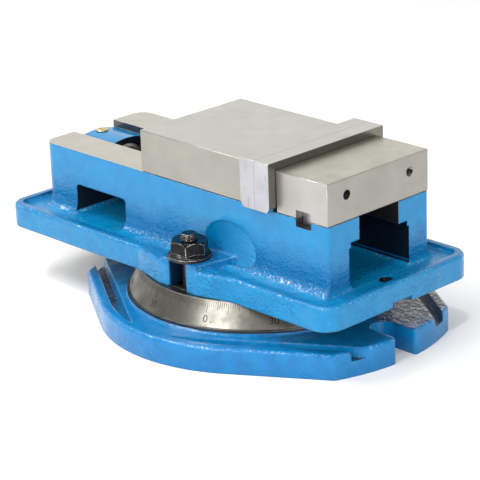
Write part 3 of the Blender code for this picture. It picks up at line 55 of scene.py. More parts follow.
# %% [markdown]
# Colours are easiest to pick as the hex codes that a paint program shows. Blender's shaders want
# linear light instead, so one function turns one into the other. A second one adds a shader node
# and wires it up in the same line, which keeps the recipes below short enough to read. A noise's
# Scale counts spots in a metre, so it is written as one over the size of a spot. Some sockets
# share a name, and are given by their number. A Map Range takes the value 0 from between 1 and 2
# to between 3 and 4, which are nought and one where they are left out. A Mix of colours goes from
# 6 to 7 as the factor 0 grows, and its colour is output 2.

# %% Colour and node helpers
def linear(hex_code):
    """A hex colour as linear red, green and blue, with a full alpha."""
    parts = [int(hex_code[place : place + 2], 16) / 255 for place in (1, 3, 5)]
    return (*[p / 12.92 if p <= 0.04045 else ((p + 0.055) / 1.055) ** 2.4 for p in parts], 1)


def add(tree, kind, sockets=(), out=0, **settings):
    """Adds a node and gives one of its outputs. A socket takes a value, a hex colour or a link."""
    made = tree.nodes.new(f"ShaderNode{kind}")
    for name, value in settings.items():
        setattr(made, name, value)
    for name, value in dict(sockets).items():
        if isinstance(value, bpy.types.NodeSocket):
            tree.links.new(value, made.inputs[name])
        else:
            made.inputs[name].default_value = linear(value) if isinstance(value, str) else value
    return made.outputs[out]


def surface(name, hex_code, metallic, roughness):
    """A material with its shader set to the plain values, and the object's own coordinates."""
    made = bpy.data.materials.new(name)
    made.use_nodes = True
    shader = made.node_tree.nodes["Principled BSDF"]
    shader.inputs["Base Color"].default_value = linear(hex_code)
    shader.inputs["Metallic"].default_value = metallic
    shader.inputs["Roughness"].default_value = roughness
    return made, made.node_tree, shader, add(made.node_tree, "TexCoord", (), "Object")


print("#808080 in linear light:", round(linear("#808080")[0], 3))

# %% [markdown]
# The photograph was taken from the front right and a little above, with a long lens, so parallel
# edges stay nearly parallel. The camera stands where the corners of the bed and the jaws put it.
# Its roll of about two degrees is why the uprights of the castings lean in the frame.

# %% Camera
AZIMUTH = math.radians(46.55)
ELEVATION = math.radians(20.42)
ROLL = math.radians(-2.15)
DISTANCE = 2.059
AIM = Vector((-27.3, 0, 64.2)) * MM
FOCAL_PIXELS, FRAME_PIXELS, SENSOR_WIDTH = 2121, 480, 36

forward = Vector(
    (
        -math.sin(AZIMUTH) * math.cos(ELEVATION),
        math.cos(AZIMUTH) * math.cos(ELEVATION),
        -math.sin(ELEVATION),
    )
)
level = Vector((math.cos(AZIMUTH), math.sin(AZIMUTH), 0))
upright = level.cross(forward)
right = level * math.cos(ROLL) + upright * math.sin(ROLL)
up = upright * math.cos(ROLL) - level * math.sin(ROLL)
camera_data = bpy.data.cameras.new("camera")
camera_data.lens = FOCAL_PIXELS / FRAME_PIXELS * SENSOR_WIDTH
camera_data.sensor_width = SENSOR_WIDTH
camera = bpy.data.objects.new("camera", camera_data)
turn = Matrix((right, up, -forward)).transposed().to_4x4()
camera.matrix_world = Matrix.Translation(AIM - forward * DISTANCE) @ turn
bpy.context.scene.collection.objects.link(camera)
bpy.context.scene.camera = camera
print("lens:", round(camera_data.lens, 1), "mm")

# %% [markdown]
# Product photographs of tools are shot in a white room, so that steel has something bright to
# mirror. Here the room is a pale world, brighter behind the vise, where the flat tops mirror it.
# The Standard view keeps paint as saturated as the photograph shows it, where Blender's own
# default greys it.

# %% White room
FLOOR_SIZE = 8
DIMMEST, BRIGHTEST, BRIGHT_FROM = 0.42, 1.05, 0.85
bpy.context.scene.view_settings.view_transform = "Standard"
world = bpy.data.worlds.new("white_room")
world.use_nodes = True
air = world.node_tree
air.nodes["Background"].inputs["Color"].default_value = linear("#FDFDFE")
direction = add(air, "TexCoord", (), "Generated")
behind = Vector((-math.sin(AZIMUTH), math.cos(AZIMUTH), 0))
backward = add(air, "VectorMath", {0: direction, 1: behind}, "Value", operation="DOT_PRODUCT")
brightness = add(air, "MapRange", {0: backward, 2: BRIGHT_FROM, 3: DIMMEST, 4: BRIGHTEST})
air.links.new(brightness, air.nodes["Background"].inputs["Strength"])
bpy.context.scene.world = world

bm = bmesh.new()
bmesh.ops.create_grid(bm, x_segments=1, y_segments=1, size=FLOOR_SIZE)
floor_mesh = bpy.data.meshes.new("floor")
bm.to_mesh(floor_mesh)
bm.free()
floor = bpy.data.objects.new("floor", floor_mesh)
bpy.context.scene.collection.objects.link(floor)
floor_paint, *_ = surface("floor_paper", "#F6F6F5", 0, 0.9)
floor_mesh.materials.append(floor_paint)
print("floor, m:", [round(side, 1) for side in floor.dimensions])

# %% [markdown]
# Five lights on the photographer's side do the rest. A big window before the long side draws the
# bright patch on the degree ring, and a second one lifts the fixed jaw's end. A long narrow strip
# overhead draws the highlights along the painted ridges. The last two are small and hard, a lamp
# high beyond the fixed jaw's end and a thin strip beyond the screw's end, and sharpen them.

# %% Lights
for name, place, width, depth, power in (
    ("window_light", (0.25, -2.3, 1.5), 1.3, 1.3, 39),
    ("side_light", (2.2, -0.7, 0.9), 1.2, 1.2, 27),
    ("edge_light", (-1.0, -0.9, 2.3), 1.8, 0.25, 32),
    ("ridge_light", (0.7, -0.75, 2.6), 0.10, 0.10, 10),
    ("ridge_strip", (-1.9, -1.2, 2.1), 0.9, 0.06, 8),
):
    data = bpy.data.lights.new(name, "AREA")
    data.shape = "RECTANGLE"
    data.size, data.size_y, data.energy = width, depth, power
    lamp = bpy.data.objects.new(name, data)
    lamp.location = place
    lamp.rotation_euler = (AIM - Vector(place)).to_track_quat("-Z", "Y").to_euler()
    bpy.context.scene.collection.objects.link(lamp)
    print(name, "stands", round((AIM - Vector(place)).length, 2), "m away")

# %% [markdown]
# ## Surfaces
# A Bevel node looks a little way round each corner, which rounds the light there. Compared with
# the true normal it also says how near an edge is, because the two lean apart there. Most wear
# follows from that: an edge is where paint is thin or chipped, and where steel is rubbed bright.
# Where a finish belongs to one place only, a mask made from the coordinates keeps it there.

# %% Edges and places
EDGE_FROM, EDGE_FULL = 0.985, 0.80


def near_edges(tree, radius):
    """The rounded normal of the corners, and a value that grows from 0 towards an edge."""
    rounded = add(tree, "Bevel", {"Radius": radius}, samples=4)
    true = add(tree, "NewGeometry", (), "Normal")
    same = add(tree, "VectorMath", {0: rounded, 1: true}, "Value", operation="DOT_PRODUCT")
    return rounded, add(tree, "MapRange", {0: same, 1: EDGE_FROM, 2: EDGE_FULL})


def kept_within(tree, place, mask, limits):
    """A mask kept to one place. Each limit is an axis, and in mm where it is gone and whole."""
    for axis, gone, whole in limits:
        along = add(tree, "SeparateXYZ", {0: place}, axis)
        share = add(tree, "MapRange", {0: along, 1: gone * MM, 2: whole * MM})
        mask = add(tree, "Math", {0: mask, 1: share}, operation="MULTIPLY")
    return mask


print("an edge shows from a lean of", round(math.degrees(math.acos(EDGE_FROM))), "degrees")

# %% [markdown]
# The castings are grey iron, sprayed with a glossy blue enamel straight over the sand-cast skin.
# Their edges chip to rust and grey iron. Along the crests of the rims, where the rounded normal
# leans between level and upright, small beads are painted near white and partly metallic: painted
# highlights.

# %% Chips and painted glints
CHIP, RUST_GRAIN, GLINT_BEAD = 5 * MM, 1.5 * MM, 2.6 * MM


def chipped(tree, place, edge, colour):
    """The colour, with chips of rust and bare iron where noisy spots meet an edge."""
    spots = {"Vector": place, "Scale": 1 / CHIP, "Detail": 5, "Roughness": 0.65}
    spots = add(tree, "MapRange", {0: add(tree, "TexNoise", spots), 1: 0.565, 2: 0.60})
    chips = add(tree, "Math", {0: spots, 1: edge}, operation="MULTIPLY")
    chips = add(tree, "MapRange", {0: chips, 1: 0.45, 2: 0.7, 4: 0.9})
    rust = add(tree, "TexNoise", {"Vector": place, "Scale": 1 / RUST_GRAIN})
    rust = add(tree, "Mix", {0: rust, 6: "#8A4B35", 7: "#8F8B86"}, 2, data_type="RGBA")
    return add(tree, "Mix", {0: chips, 6: colour, 7: rust}, 2, data_type="RGBA")


def crest_beads(tree, place, rounded):
    """Painted highlights: how far near-white beads show along the crests."""
    slope = add(tree, "SeparateXYZ", {0: rounded}, "Z")
    leaning = add(tree, "MapRange", {0: slope, 1: 0.52, 2: 0.66})
    not_level = add(tree, "MapRange", {0: slope, 1: 0.86, 2: 0.76})
    crest = add(tree, "Math", {0: leaning, 1: not_level}, operation="MULTIPLY")
    glint_beads = {"Vector": place, "Scale": 1 / GLINT_BEAD, "Detail": 3, "Roughness": 0.6}
    glint_beads = add(tree, "MapRange", {0: add(tree, "TexNoise", glint_beads), 1: 0.57, 2: 0.63, 4: 0.6})
    return add(tree, "Math", {0: crest, 1: glint_beads}, operation="MULTIPLY")


print("chips and beads, mm:", round(CHIP / MM, 1), round(GLINT_BEAD / MM, 1))

# %% [markdown]
# The sand leaves low lumps about a centimetre across. The paint runs smooth high on the walls and
# dries to orange peel low down, where it was thickest, and dirt stays in the hollows there. Low
# down the colour is also turned deeper, a painted shade. The line between the two is ragged,
# because the peel's own noise is added to the height.

# %% Paint and painted shade by height
LUMP, PEEL, DIRT_SPOT, GLOSS_PATCH = 12 * MM, 3.2 * MM, 2.2 * MM, 40 * MM
FOOT_LOW, FOOT_HIGH = 14 * MM, 8 * MM


def gathered(tree, place, tone, shaded_tone, peel, smooth_above, peel_below):
    """The tone, turned deeper below a ragged line as painted shade and spotted with dirt, and how
    far down that is.
    """
    height = add(tree, "SeparateXYZ", {0: place}, "Z")
    low_down = add(tree, "MapRange", {0: height, 1: smooth_above, 2: peel_below, 3: 0.12})
    ragged = 0.5 * (smooth_above - peel_below)
    ragged = add(tree, "Math", {0: peel, 1: ragged}, operation="MULTIPLY")
    ragged = add(tree, "Math", {0: height, 1: ragged})
    painted_shade = add(tree, "MapRange", {0: ragged, 1: smooth_above, 2: peel_below, 4: 0.75})
    foot = {0: height, 1: peel_below - FOOT_LOW, 2: peel_below - FOOT_HIGH}
    painted_shade = {0: painted_shade, 1: add(tree, "MapRange", foot)}
    painted_shade = add(tree, "Math", painted_shade, operation="MULTIPLY")
    # Below the ragged line the tone turns to the deeper blue: painted shade.
    tone = add(tree, "Mix", {0: painted_shade, 6: tone, 7: shaded_tone}, 2, data_type="RGBA")
    dirt_and_shade = {"Vector": place, "Scale": 1 / DIRT_SPOT, "Detail": 4, "Roughness": 0.7}
    dirt_and_shade = add(tree, "MapRange", {0: add(tree, "TexNoise", dirt_and_shade), 1: 0.64, 2: 0.72, 4: 0.5})
    dirt_and_shade = add(tree, "Math", {0: dirt_and_shade, 1: low_down}, operation="MULTIPLY")
    return add(tree, "Mix", {0: dirt_and_shade, 6: tone, 7: "#1B3A50"}, 2, data_type="RGBA"), low_down


def blue_enamel(name, light, dark, shaded_tone, smooth_above, peel_below, local):
    """Glossy enamel over cast iron. local changes the colour and the normal of one place."""
    made, tree, shader, place = surface(name, light, 0, 0.2)
    shader.inputs["Specular IOR Level"].default_value = 0.42
    rounded, edge = near_edges(tree, 2.6 * MM)
    lumps = add(tree, "TexNoise", {"Vector": place, "Scale": 1 / LUMP})
    share = add(tree, "MapRange", {0: lumps, 1: 0.3, 2: 0.7})
    tone = add(tree, "Mix", {0: share, 6: dark, 7: light}, 2, data_type="RGBA")
    peel = add(tree, "TexNoise", {"Vector": place, "Scale": 1 / PEEL, "Roughness": 0.6})
    tone, low_down = gathered(tree, place, tone, shaded_tone, peel, smooth_above, peel_below)
    tone = chipped(tree, place, edge, tone)
    # Painted highlights: near-white, partly metallic beads on the crests.
    wear_and_glint = crest_beads(tree, place, rounded)
    tree.links.new(wear_and_glint, shader.inputs["Metallic"])
    colour = add(tree, "Mix", {0: wear_and_glint, 6: tone, 7: "#E2F2FC"}, 2, data_type="RGBA")
    cast = {"Height": lumps, "Distance": 0.6 * MM, "Strength": 0.3, "Normal": rounded}
    colour, normal = local(tree, place, colour, add(tree, "Bump", cast))
    tree.links.new(colour, shader.inputs["Base Color"])
    patches = add(tree, "TexNoise", {"Vector": place, "Scale": 1 / GLOSS_PATCH, "Detail": 1})
    patches = add(tree, "MapRange", {0: patches, 1: 0.40, 2: 0.62})
    rough = add(tree, "MapRange", {0: patches, 3: 0.07, 4: 0.14})
    tree.links.new(rough, shader.inputs["Roughness"])
    strength = {0: low_down, 1: add(tree, "MapRange", {0: patches, 3: 0.35})}
    strength = add(tree, "Math", strength, operation="MULTIPLY")
    peel = add(tree, "Math", {0: peel, 1: strength}, operation="MULTIPLY")
    peel = {"Height": peel, "Distance": 2.2 * MM, "Strength": 1.0, "Normal": normal}
    tree.links.new(add(tree, "Bump", peel), shader.inputs["Normal"])
    return made


print("lumps and orange peel, mm:", round(LUMP / MM, 1), round(PEEL / MM, 1))

# %% [markdown]
# On the bed the paint is smooth above the ears and turns deeper towards the flange, a painted
# shade. The hollow beside the nut is a place of its own: its colour is painted lighter towards its
# shallow end, a painted light.

# %% Enamel on the bed
SMOOTH_ABOVE, PEEL_BELOW = 124 * MM, 88 * MM
HOLLOW = (("X", 66, 63), ("Z", 66, 68), ("Y", -66.98, -66.9), ("Y", -59, -60))


def lit_hollow(tree, place, colour, normal):
    """The hollow beside the nut, painted lighter towards its shallow end: painted light."""
    along = add(tree, "SeparateXYZ", {0: place}, "X")
    mask = add(tree, "MapRange", {0: along, 1: 6 * MM, 2: 58 * MM, 4: 0.5})
    mask = kept_within(tree, place, mask, HOLLOW)
    return add(tree, "Mix", {0: mask, 6: colour, 7: "#58BCEE"}, 2, data_type="RGBA"), normal


# The third blue is the deeper tone low down, a painted shade.
blues = "#0881B7", "#0576AC", "#045A93"
BLUE = blue_enamel("blue_enamel_on_cast_iron", *blues, SMOOTH_ABOVE, PEEL_BELOW, lit_hollow)
print("enamel on the bed:", len(BLUE.node_tree.nodes), "nodes")

# %% [markdown]
# On the base, the front lug's far half was left as the sand made it. There the metal shows through
# a thin mist of paint as grains, painted near white as glints and black between them as shade. It
# is the same enamel recipe, with a mask that fades in over that lug and keeps off the rim, which
# stands higher. The mist is thicker beside the lug's slot and at its end.

# %% Enamel on the base
BASE_SMOOTH_ABOVE = 30 * MM
LUG_TOP = (("X", 108, 128), ("Y", 0, 14), ("Z", 24.5, 24.9), ("Z", 25.7, 25.3))


def sandy_lug(tree, place, colour, normal):
    """Colour and normal with the raw casting over half the front lug, grains painted as glints and
    shade.
    """
    mask = kept_within(tree, place, 1.0, LUG_TOP)
    grain = {"Vector": place, "Scale": 1 / (4.4 * MM), "Detail": 3, "Roughness": 0.6}
    grain = add(tree, "TexNoise", grain)
    share = add(tree, "MapRange", {0: grain, 1: 0.48, 2: 0.58})
    raw_glint_and_shade = add(tree, "Mix", {0: share, 6: "#020A14", 7: "#C4CED4"}, 2, data_type="RGBA")
    across = add(tree, "SeparateXYZ", {0: place}, "Y")
    by_slot = add(tree, "MapRange", {0: across, 1: 52 * MM, 2: 18 * MM, 4: 0.75})
    along = add(tree, "SeparateXYZ", {0: place}, "X")
    by_end = add(tree, "MapRange", {0: along, 1: 168 * MM, 2: 184 * MM, 4: 0.6})
    mist = add(tree, "Math", {0: by_slot, 1: by_end})
    mist = add(tree, "MapRange", {0: mist, 2: 0.8, 4: 0.85})
    haze = add(tree, "TexNoise", {"Vector": place, "Scale": 1 / (16 * MM)})
    haze = add(tree, "MapRange", {0: haze, 1: 0.36, 2: 0.52, 3: 0.6})
    mist = add(tree, "Math", {0: mist, 1: haze}, operation="MULTIPLY")
    raw_glint_and_shade = add(tree, "Mix", {0: mist, 6: raw_glint_and_shade, 7: "#0C4C86"}, 2, data_type="RGBA")
    colour = add(tree, "Mix", {0: mask, 6: colour, 7: raw_glint_and_shade}, 2, data_type="RGBA")
    grain = add(tree, "Math", {0: grain, 1: mask}, operation="MULTIPLY")
    rough = {"Height": grain, "Distance": 3 * MM, "Strength": 1.0, "Normal": normal}
    return colour, add(tree, "Bump", rough)


# The third blue is the deeper tone low down, a painted shade.
blues = "#107AB6", "#086CA6", "#08659C"
BASE_BLUE = blue_enamel("blue_enamel_on_base", *blues, BASE_SMOOTH_ABOVE, 0, sandy_lug)
print("enamel on the base:", len(BASE_BLUE.node_tree.nodes), "nodes")

# %% [markdown]
# The paint was sprayed from outside, so it thins out inside the bed. The floor of the channel
# caught some, and the walls and the roof stayed bare iron, black with oil. That black is also
# painted shade, for the dark inside of the bed. How much blue is left depends on the height above
# the channel's floor. The windows, the walls of the ears' slots and the key's hole have only a
# dark mist of paint, dark as painted shade.

# %% Oily iron and painted shade where the paint is thin
def oily_iron(name, dark, light, mist, floor_height=0.0, paint_reach=1 * MM):
    """Bare oily iron, dark as painted shade, with a mist of paint that fades above floor_height.
    """
    made, tree, shader, place = surface(name, dark, 0.1, 0.42)
    grain = {"Vector": place, "Scale": 1 / (3 * MM), "Detail": 4, "Roughness": 0.6}
    grain = add(tree, "TexNoise", grain)
    ragged = add(tree, "Math", {0: grain, 1: 6 * MM, 2: -3 * MM}, operation="MULTIPLY_ADD")
    height = add(tree, "Math", {0: add(tree, "SeparateXYZ", {0: place}, "Z"), 1: ragged})
    reach = {0: height, 1: floor_height + paint_reach, 2: floor_height}
    painted = add(tree, "MapRange", reach)
    share = add(tree, "MapRange", {0: grain, 1: 0.35, 2: 0.65})
    iron = add(tree, "Mix", {0: share, 6: dark, 7: light}, 2, data_type="RGBA")
    colour = add(tree, "Mix", {0: painted, 6: iron, 7: mist}, 2, data_type="RGBA")
    tree.links.new(colour, shader.inputs["Base Color"])
    rough = {"Height": grain, "Distance": 0.6 * MM, "Strength": 0.7}
    tree.links.new(add(tree, "Bump", rough), shader.inputs["Normal"])
    return made


PAINT_FROM, PAINT_REACH = 84 * MM, 14 * MM
darks = "#07090D", "#11151C", "#0B5C9E"
# These dark irons are painted shade as well as oily iron.
SHADED_INSIDE = oily_iron("oily_iron_painted_shade", *darks, PAINT_FROM, PAINT_REACH)
SHADED_SLOT_WALL = oily_iron("slot_walls_painted_shade", "#042440", "#0A3558", "#0B5C98")
SHADED_WINDOW_WALL = oily_iron("window_walls_painted_shade", "#030C16", "#081A2C", "#0B5C98")
print("oily iron:", SHADED_INSIDE.name, SHADED_SLOT_WALL.name, SHADED_WINDOW_WALL.name)

# %% [markdown]
# The trench round the ring is painted, and chips and oil gather in it. Towards the two lugs the
# bed above shades it, so it turns darker with the distance along X: dirt and painted shade.

# %% Dirt and painted shade in the trench
def dirty_trench():
    """Blue in the middle of each long side, dark towards the lugs with dirt and painted shade."""
    made, tree, shader, place = surface("dirty_trench", "#0C2030", 0, 0.24)
    grain = {"Vector": place, "Scale": 1 / (4 * MM), "Detail": 4, "Roughness": 0.6}
    grain = add(tree, "TexNoise", grain)
    share = add(tree, "MapRange", {0: grain, 1: 0.4, 2: 0.65})
    dirt_and_shade = add(tree, "Mix", {0: share, 6: "#081722", 7: "#35586C"}, 2, data_type="RGBA")
    along = add(tree, "SeparateXYZ", {0: place}, "X")
    along = add(tree, "Math", {0: along}, operation="ABSOLUTE")
    reach = add(tree, "MapRange", {0: along, 1: 55 * MM, 2: 95 * MM, 4: 0.9})
    colour = add(tree, "Mix", {0: reach, 6: "#1277B0", 7: dirt_and_shade}, 2, data_type="RGBA")
    tree.links.new(colour, shader.inputs["Base Color"])
    rough = {"Height": grain, "Distance": 0.6 * MM, "Strength": 0.5}
    tree.links.new(add(tree, "Bump", rough), shader.inputs["Normal"])
    return made


TRENCH = dirty_trench()
print("trench:", len(TRENCH.node_tree.nodes), "nodes")

# %% [markdown]
# The jaws and the bed's rails were surface ground. A grinding wheel leaves hair-fine lines in one
# direction, so the noise is stretched along them: it is a few tenths of a millimetre wide and
# many centimetres long. Real lines are finer than the render can show, and these are drawn just
# wide enough to see. Small stains and nicks keep a big flat face from looking like plastic.

# %% Ground steel
LINE_STRETCH, SCRATCH_STRETCH = 0.02, 0.12


def scratched(tree, place, tone, most):
    """The tone with dark scratches, which run up and down."""
    tall = add(tree, "Mapping", {"Vector": place, "Scale": (1, 1, SCRATCH_STRETCH)})
    cuts = {"Vector": tall, "Scale": 1 / (2.4 * MM), "Detail": 5, "Roughness": 0.75}
    cuts = add(tree, "MapRange", {0: add(tree, "TexNoise", cuts), 1: 0.61, 2: 0.70, 4: most})
    return add(tree, "Mix", {0: cuts, 6: tone, 7: "#6A6A72"}, 2, data_type="RGBA")


def ground_steel(name, light, dark, roughness, along, blotches=0.5, scratches=0.0):
    """Steel with grinding lines along one axis, 0 for X, 1 for Y, 2 for Z, and cloudy stains."""
    made, tree, shader, place = surface(name, light, 1, roughness)
    rounded, edge = near_edges(tree, 0.5 * MM)
    stretch = [1.0, 1.0, 1.0]
    stretch[along] = LINE_STRETCH
    stretched = add(tree, "Mapping", {"Vector": place, "Scale": stretch})
    lines = {"Vector": stretched, "Scale": 1 / (0.6 * MM), "Detail": 3, "Roughness": 0.6}
    lines = add(tree, "TexNoise", lines)
    cloud = {"Vector": place, "Scale": 1 / (28 * MM), "Detail": 4, "Roughness": 0.6}
    cloud = add(tree, "TexNoise", cloud)
    stains = add(tree, "MapRange", {0: cloud, 1: 0.3, 2: 0.7, 4: blotches})
    tone = add(tree, "Mix", {0: stains, 6: light, 7: dark}, 2, data_type="RGBA")
    share = add(tree, "MapRange", {0: lines, 1: 0.3, 2: 0.7, 4: 0.18})
    tone = add(tree, "Mix", {0: share, 6: tone, 7: dark}, 2, data_type="RGBA")
    nicks = {"Vector": place, "Scale": 1 / (3 * MM), "Detail": 5, "Roughness": 0.7}
    nicks = add(tree, "MapRange", {0: add(tree, "TexNoise", nicks), 1: 0.70, 2: 0.76, 4: 0.3})
    tone = add(tree, "Mix", {0: nicks, 6: tone, 7: "#6E675C"}, 2, data_type="RGBA")
    if scratches:
        tone = scratched(tree, place, tone, scratches)
    bright = add(tree, "MapRange", {0: edge, 1: 0.2, 4: 0.6})
    tone = add(tree, "Mix", {0: bright, 6: tone, 7: "#F2F0EA"}, 2, data_type="RGBA")
    tree.links.new(tone, shader.inputs["Base Color"])
    rough = {0: cloud, 1: 0.3, 2: 0.7, 3: roughness - 0.04, 4: roughness + 0.07}
    tree.links.new(add(tree, "MapRange", rough), shader.inputs["Roughness"])
    fine = {"Height": lines, "Distance": 0.02 * MM, "Strength": 0.5, "Normal": rounded}
    tree.links.new(add(tree, "Bump", fine), shader.inputs["Normal"])
    return made


# %% [markdown]
# Each ground face has its own tint and stains, and its own brightness: the top, sides and end of
# one jaw are lit and shaded copies of one steel, painted light and shade. The jaws' tops are the
# palest, the faces of the hardened plates are painted darker than their ends as shade, and milled
# faces that nobody ground are the darkest.

# %% Steels of the jaws and rails
ALONG_X, ALONG_Y = 0, 1
JAW_TOP = ground_steel("surface_ground_steel", "#CAC7BE", "#BDBAAF", 0.36, ALONG_Y)
JAW_SIDE = ground_steel("side_ground_steel", "#A8A59D", "#99968E", 0.36, ALONG_X)
FIXED_TOP = ground_steel("fixed_jaw_top_steel", "#C4C1B2", "#AFAC9C", 0.34, ALONG_Y, 0.8)
FIXED_SIDE = ground_steel("fixed_jaw_side_steel", "#B8B4B0", "#A9A5A1", 0.36, ALONG_Y)
FIXED_END = ground_steel("fixed_jaw_end_steel", "#A9A69F", "#9C9992", 0.36, ALONG_Y)
RAIL_STEEL = ground_steel("ground_rail_steel", "#CCC8BC", "#BDB9AD", 0.36, ALONG_X)
PLATE_END = ground_steel("hardened_plate_steel", "#BDBDC1", "#AAAAAF", 0.32, ALONG_Y, 0.9, 0.8)
PLATE_FACE = ground_steel("hardened_plate_face", "#84827A", "#6C6A60", 0.34, ALONG_Y, 0.4)
DARK_STEEL = ground_steel("milled_steel", "#6A6A6A", "#55555A", 0.42, ALONG_X)
print("ground steel:", len(JAW_TOP.node_tree.nodes), "nodes each")

# %% [markdown]
# The degree ring was turned on a lathe, so its marks run round it. Rings are lines of equal
# height and radius: the noise reads only how far a point is from the axis, and its height. Oil
# and handling leave it a mottled grey, with brown specks where it has begun to rust.

# %% Turned steel
def turned_steel(name, light, dark, roughness, rings=0.5 * MM, rust=0.0):
    """Steel turned about the vertical axis."""
    made, tree, shader, place = surface(name, light, 1, roughness)
    rounded, _ = near_edges(tree, 0.4 * MM)
    axes = add(tree, "SeparateXYZ", {0: place}).node.outputs
    flat = add(tree, "CombineXYZ", {"X": axes["X"], "Y": axes["Y"]})
    radius = add(tree, "VectorMath", {0: flat}, "Value", operation="LENGTH")
    round_axis = add(tree, "CombineXYZ", {"X": radius, "Y": axes["Z"]})
    cuts = {"Vector": round_axis, "Scale": 1 / rings, "Detail": 3, "Roughness": 0.6}
    cuts = add(tree, "TexNoise", cuts)
    cloud = {"Vector": place, "Scale": 1 / (18 * MM), "Detail": 5, "Roughness": 0.62}
    cloud = add(tree, "TexNoise", cloud)
    share = add(tree, "MapRange", {0: cloud, 1: 0.32, 2: 0.68})
    tone = add(tree, "Mix", {0: share, 6: light, 7: dark}, 2, data_type="RGBA")
    grain = {"Vector": place, "Scale": 1 / (1.6 * MM), "Detail": 3, "Roughness": 0.7}
    grain = add(tree, "MapRange", {0: add(tree, "TexNoise", grain), 1: 0.45, 2: 0.7, 4: 0.3})
    tone = add(tree, "Mix", {0: grain, 6: tone, 7: dark}, 2, data_type="RGBA")
    spots = {"Vector": place, "Scale": 1 / (5 * MM), "Detail": 5, "Roughness": 0.7}
    spots = add(tree, "MapRange", {0: add(tree, "TexNoise", spots), 1: 0.62, 2: 0.72, 4: rust})
    tone = add(tree, "Mix", {0: spots, 6: tone, 7: "#7D6A48"}, 2, data_type="RGBA")
    tree.links.new(tone, shader.inputs["Base Color"])
    rough = {0: cloud, 1: 0.3, 2: 0.7, 3: roughness - 0.05, 4: roughness + 0.08}
    tree.links.new(add(tree, "MapRange", rough), shader.inputs["Roughness"])
    fine = {"Height": cuts, "Distance": 0.03 * MM, "Strength": 0.6, "Normal": rounded}
    tree.links.new(add(tree, "Bump", fine), shader.inputs["Normal"])
    return made


RING_STEEL = turned_steel("turned_ring_steel", "#88867F", "#66635C", 0.32, rust=0.7)
BRIGHT_STEEL = turned_steel("machined_steel", "#C4C3BE", "#A3A29C", 0.30, 1.2 * MM)
print("turned steel:", len(RING_STEEL.node_tree.nodes), "nodes each")

# %% [markdown]
# Nuts, washers and studs were blackened in a hot salt bath. The black is thin and a bit oily, and
# steel shines through where a spanner or a thread has rubbed it.

# %% Black oxide
RUBBED_OVER = 0.12


def black_oxide(name, light, dark, rubbed_from):
    """Blackened steel. Edges are rubbed bright where a noise is over rubbed_from."""
    made, tree, shader, place = surface(name, light, 0.8, 0.24)
    rounded, edge = near_edges(tree, 0.7 * MM)
    cloud = {"Vector": place, "Scale": 1 / (4 * MM), "Detail": 4, "Roughness": 0.6}
    cloud = add(tree, "TexNoise", cloud)
    wear_and_glint = {0: cloud, 1: rubbed_from, 2: rubbed_from + RUBBED_OVER}
    wear_and_glint = {0: edge, 1: add(tree, "MapRange", wear_and_glint)}
    wear_and_glint = add(tree, "Math", wear_and_glint, operation="MULTIPLY")
    share = add(tree, "MapRange", {0: cloud, 1: 0.3, 2: 0.7})
    tone = add(tree, "Mix", {0: share, 6: dark, 7: light}, 2, data_type="RGBA")
    bright = add(tree, "MapRange", {0: wear_and_glint, 1: 0.1, 2: 0.6, 4: 0.9})
    tone = add(tree, "Mix", {0: bright, 6: tone, 7: "#C2BCB2"}, 2, data_type="RGBA")
    tree.links.new(tone, shader.inputs["Base Color"])
    fine = {"Height": cloud, "Distance": 0.06 * MM, "Strength": 0.5, "Normal": rounded}
    tree.links.new(add(tree, "Bump", fine), shader.inputs["Normal"])
    return made


BLACK = black_oxide("black_oxide_steel", "#27282B", "#101113", 0.36)
WASHER_BLACK = black_oxide("rubbed_washer_steel", "#454547", "#222224", 0.28)
print("black oxide:", BLACK.name, WASHER_BLACK.name)

# %% [markdown]
# The oil cup and the bearing's cage are brass, the bush bronze. Both dull to a brown film. The
# degree marks are engraved lines filled with a black that has worn and greyed in places.

# %% Brass, bronze and engraving
def dull_brass(name, light, dark):
    """Brass or bronze, its edges rounded and its colour clouded by a thin film."""
    made, tree, shader, place = surface(name, light, 1, 0.32)
    rounded, _ = near_edges(tree, 0.3 * MM)
    cloud = {"Vector": place, "Scale": 1 / (3 * MM), "Detail": 4, "Roughness": 0.6}
    cloud = {0: add(tree, "TexNoise", cloud), 6: light, 7: dark}
    tree.links.new(add(tree, "Mix", cloud, 2, data_type="RGBA"), shader.inputs["Base Color"])
    tree.links.new(rounded, shader.inputs["Normal"])
    return made


def engraving(name, dark, worn):
    """A matt filling, worn paler in places."""
    made, tree, shader, place = surface(name, dark, 0, 0.7)
    shader.inputs["Specular IOR Level"].default_value = 0.2
    cloud = {"Vector": place, "Scale": 1 / (7 * MM), "Detail": 3, "Roughness": 0.6}
    cloud = add(tree, "MapRange", {0: add(tree, "TexNoise", cloud), 1: 0.50, 2: 0.70})
    tone = add(tree, "Mix", {0: cloud, 6: dark, 7: worn}, 2, data_type="RGBA")
    tree.links.new(tone, shader.inputs["Base Color"])
    return made


BRASS = dull_brass("dull_brass", "#E4CFA0", "#C0A874")
BRONZE = dull_brass("bearing_bronze", "#B98A4E", "#8A6436")
MARK = engraving("filled_engraving", "#1B1A18", "#45423B")
print("materials:", len(bpy.data.materials))

# %% [markdown]
# ## Pieces
# A solid arrives as loose triangles, which shade as flat facets. A dressed copy merges them,
# makes each flat face whole again and marks only the real corners as sharp. Weighted normals then
# let the big flat faces stay flat and the small rounded ones carry the curve.

# %% Put a finished mesh in the scene
SHARP = math.radians(38)


def finished(bm, name):
    """The mesh of a bmesh, which is freed."""
    mesh = bpy.data.meshes.new(name)
    bm.to_mesh(mesh)
    bm.free()
    return mesh


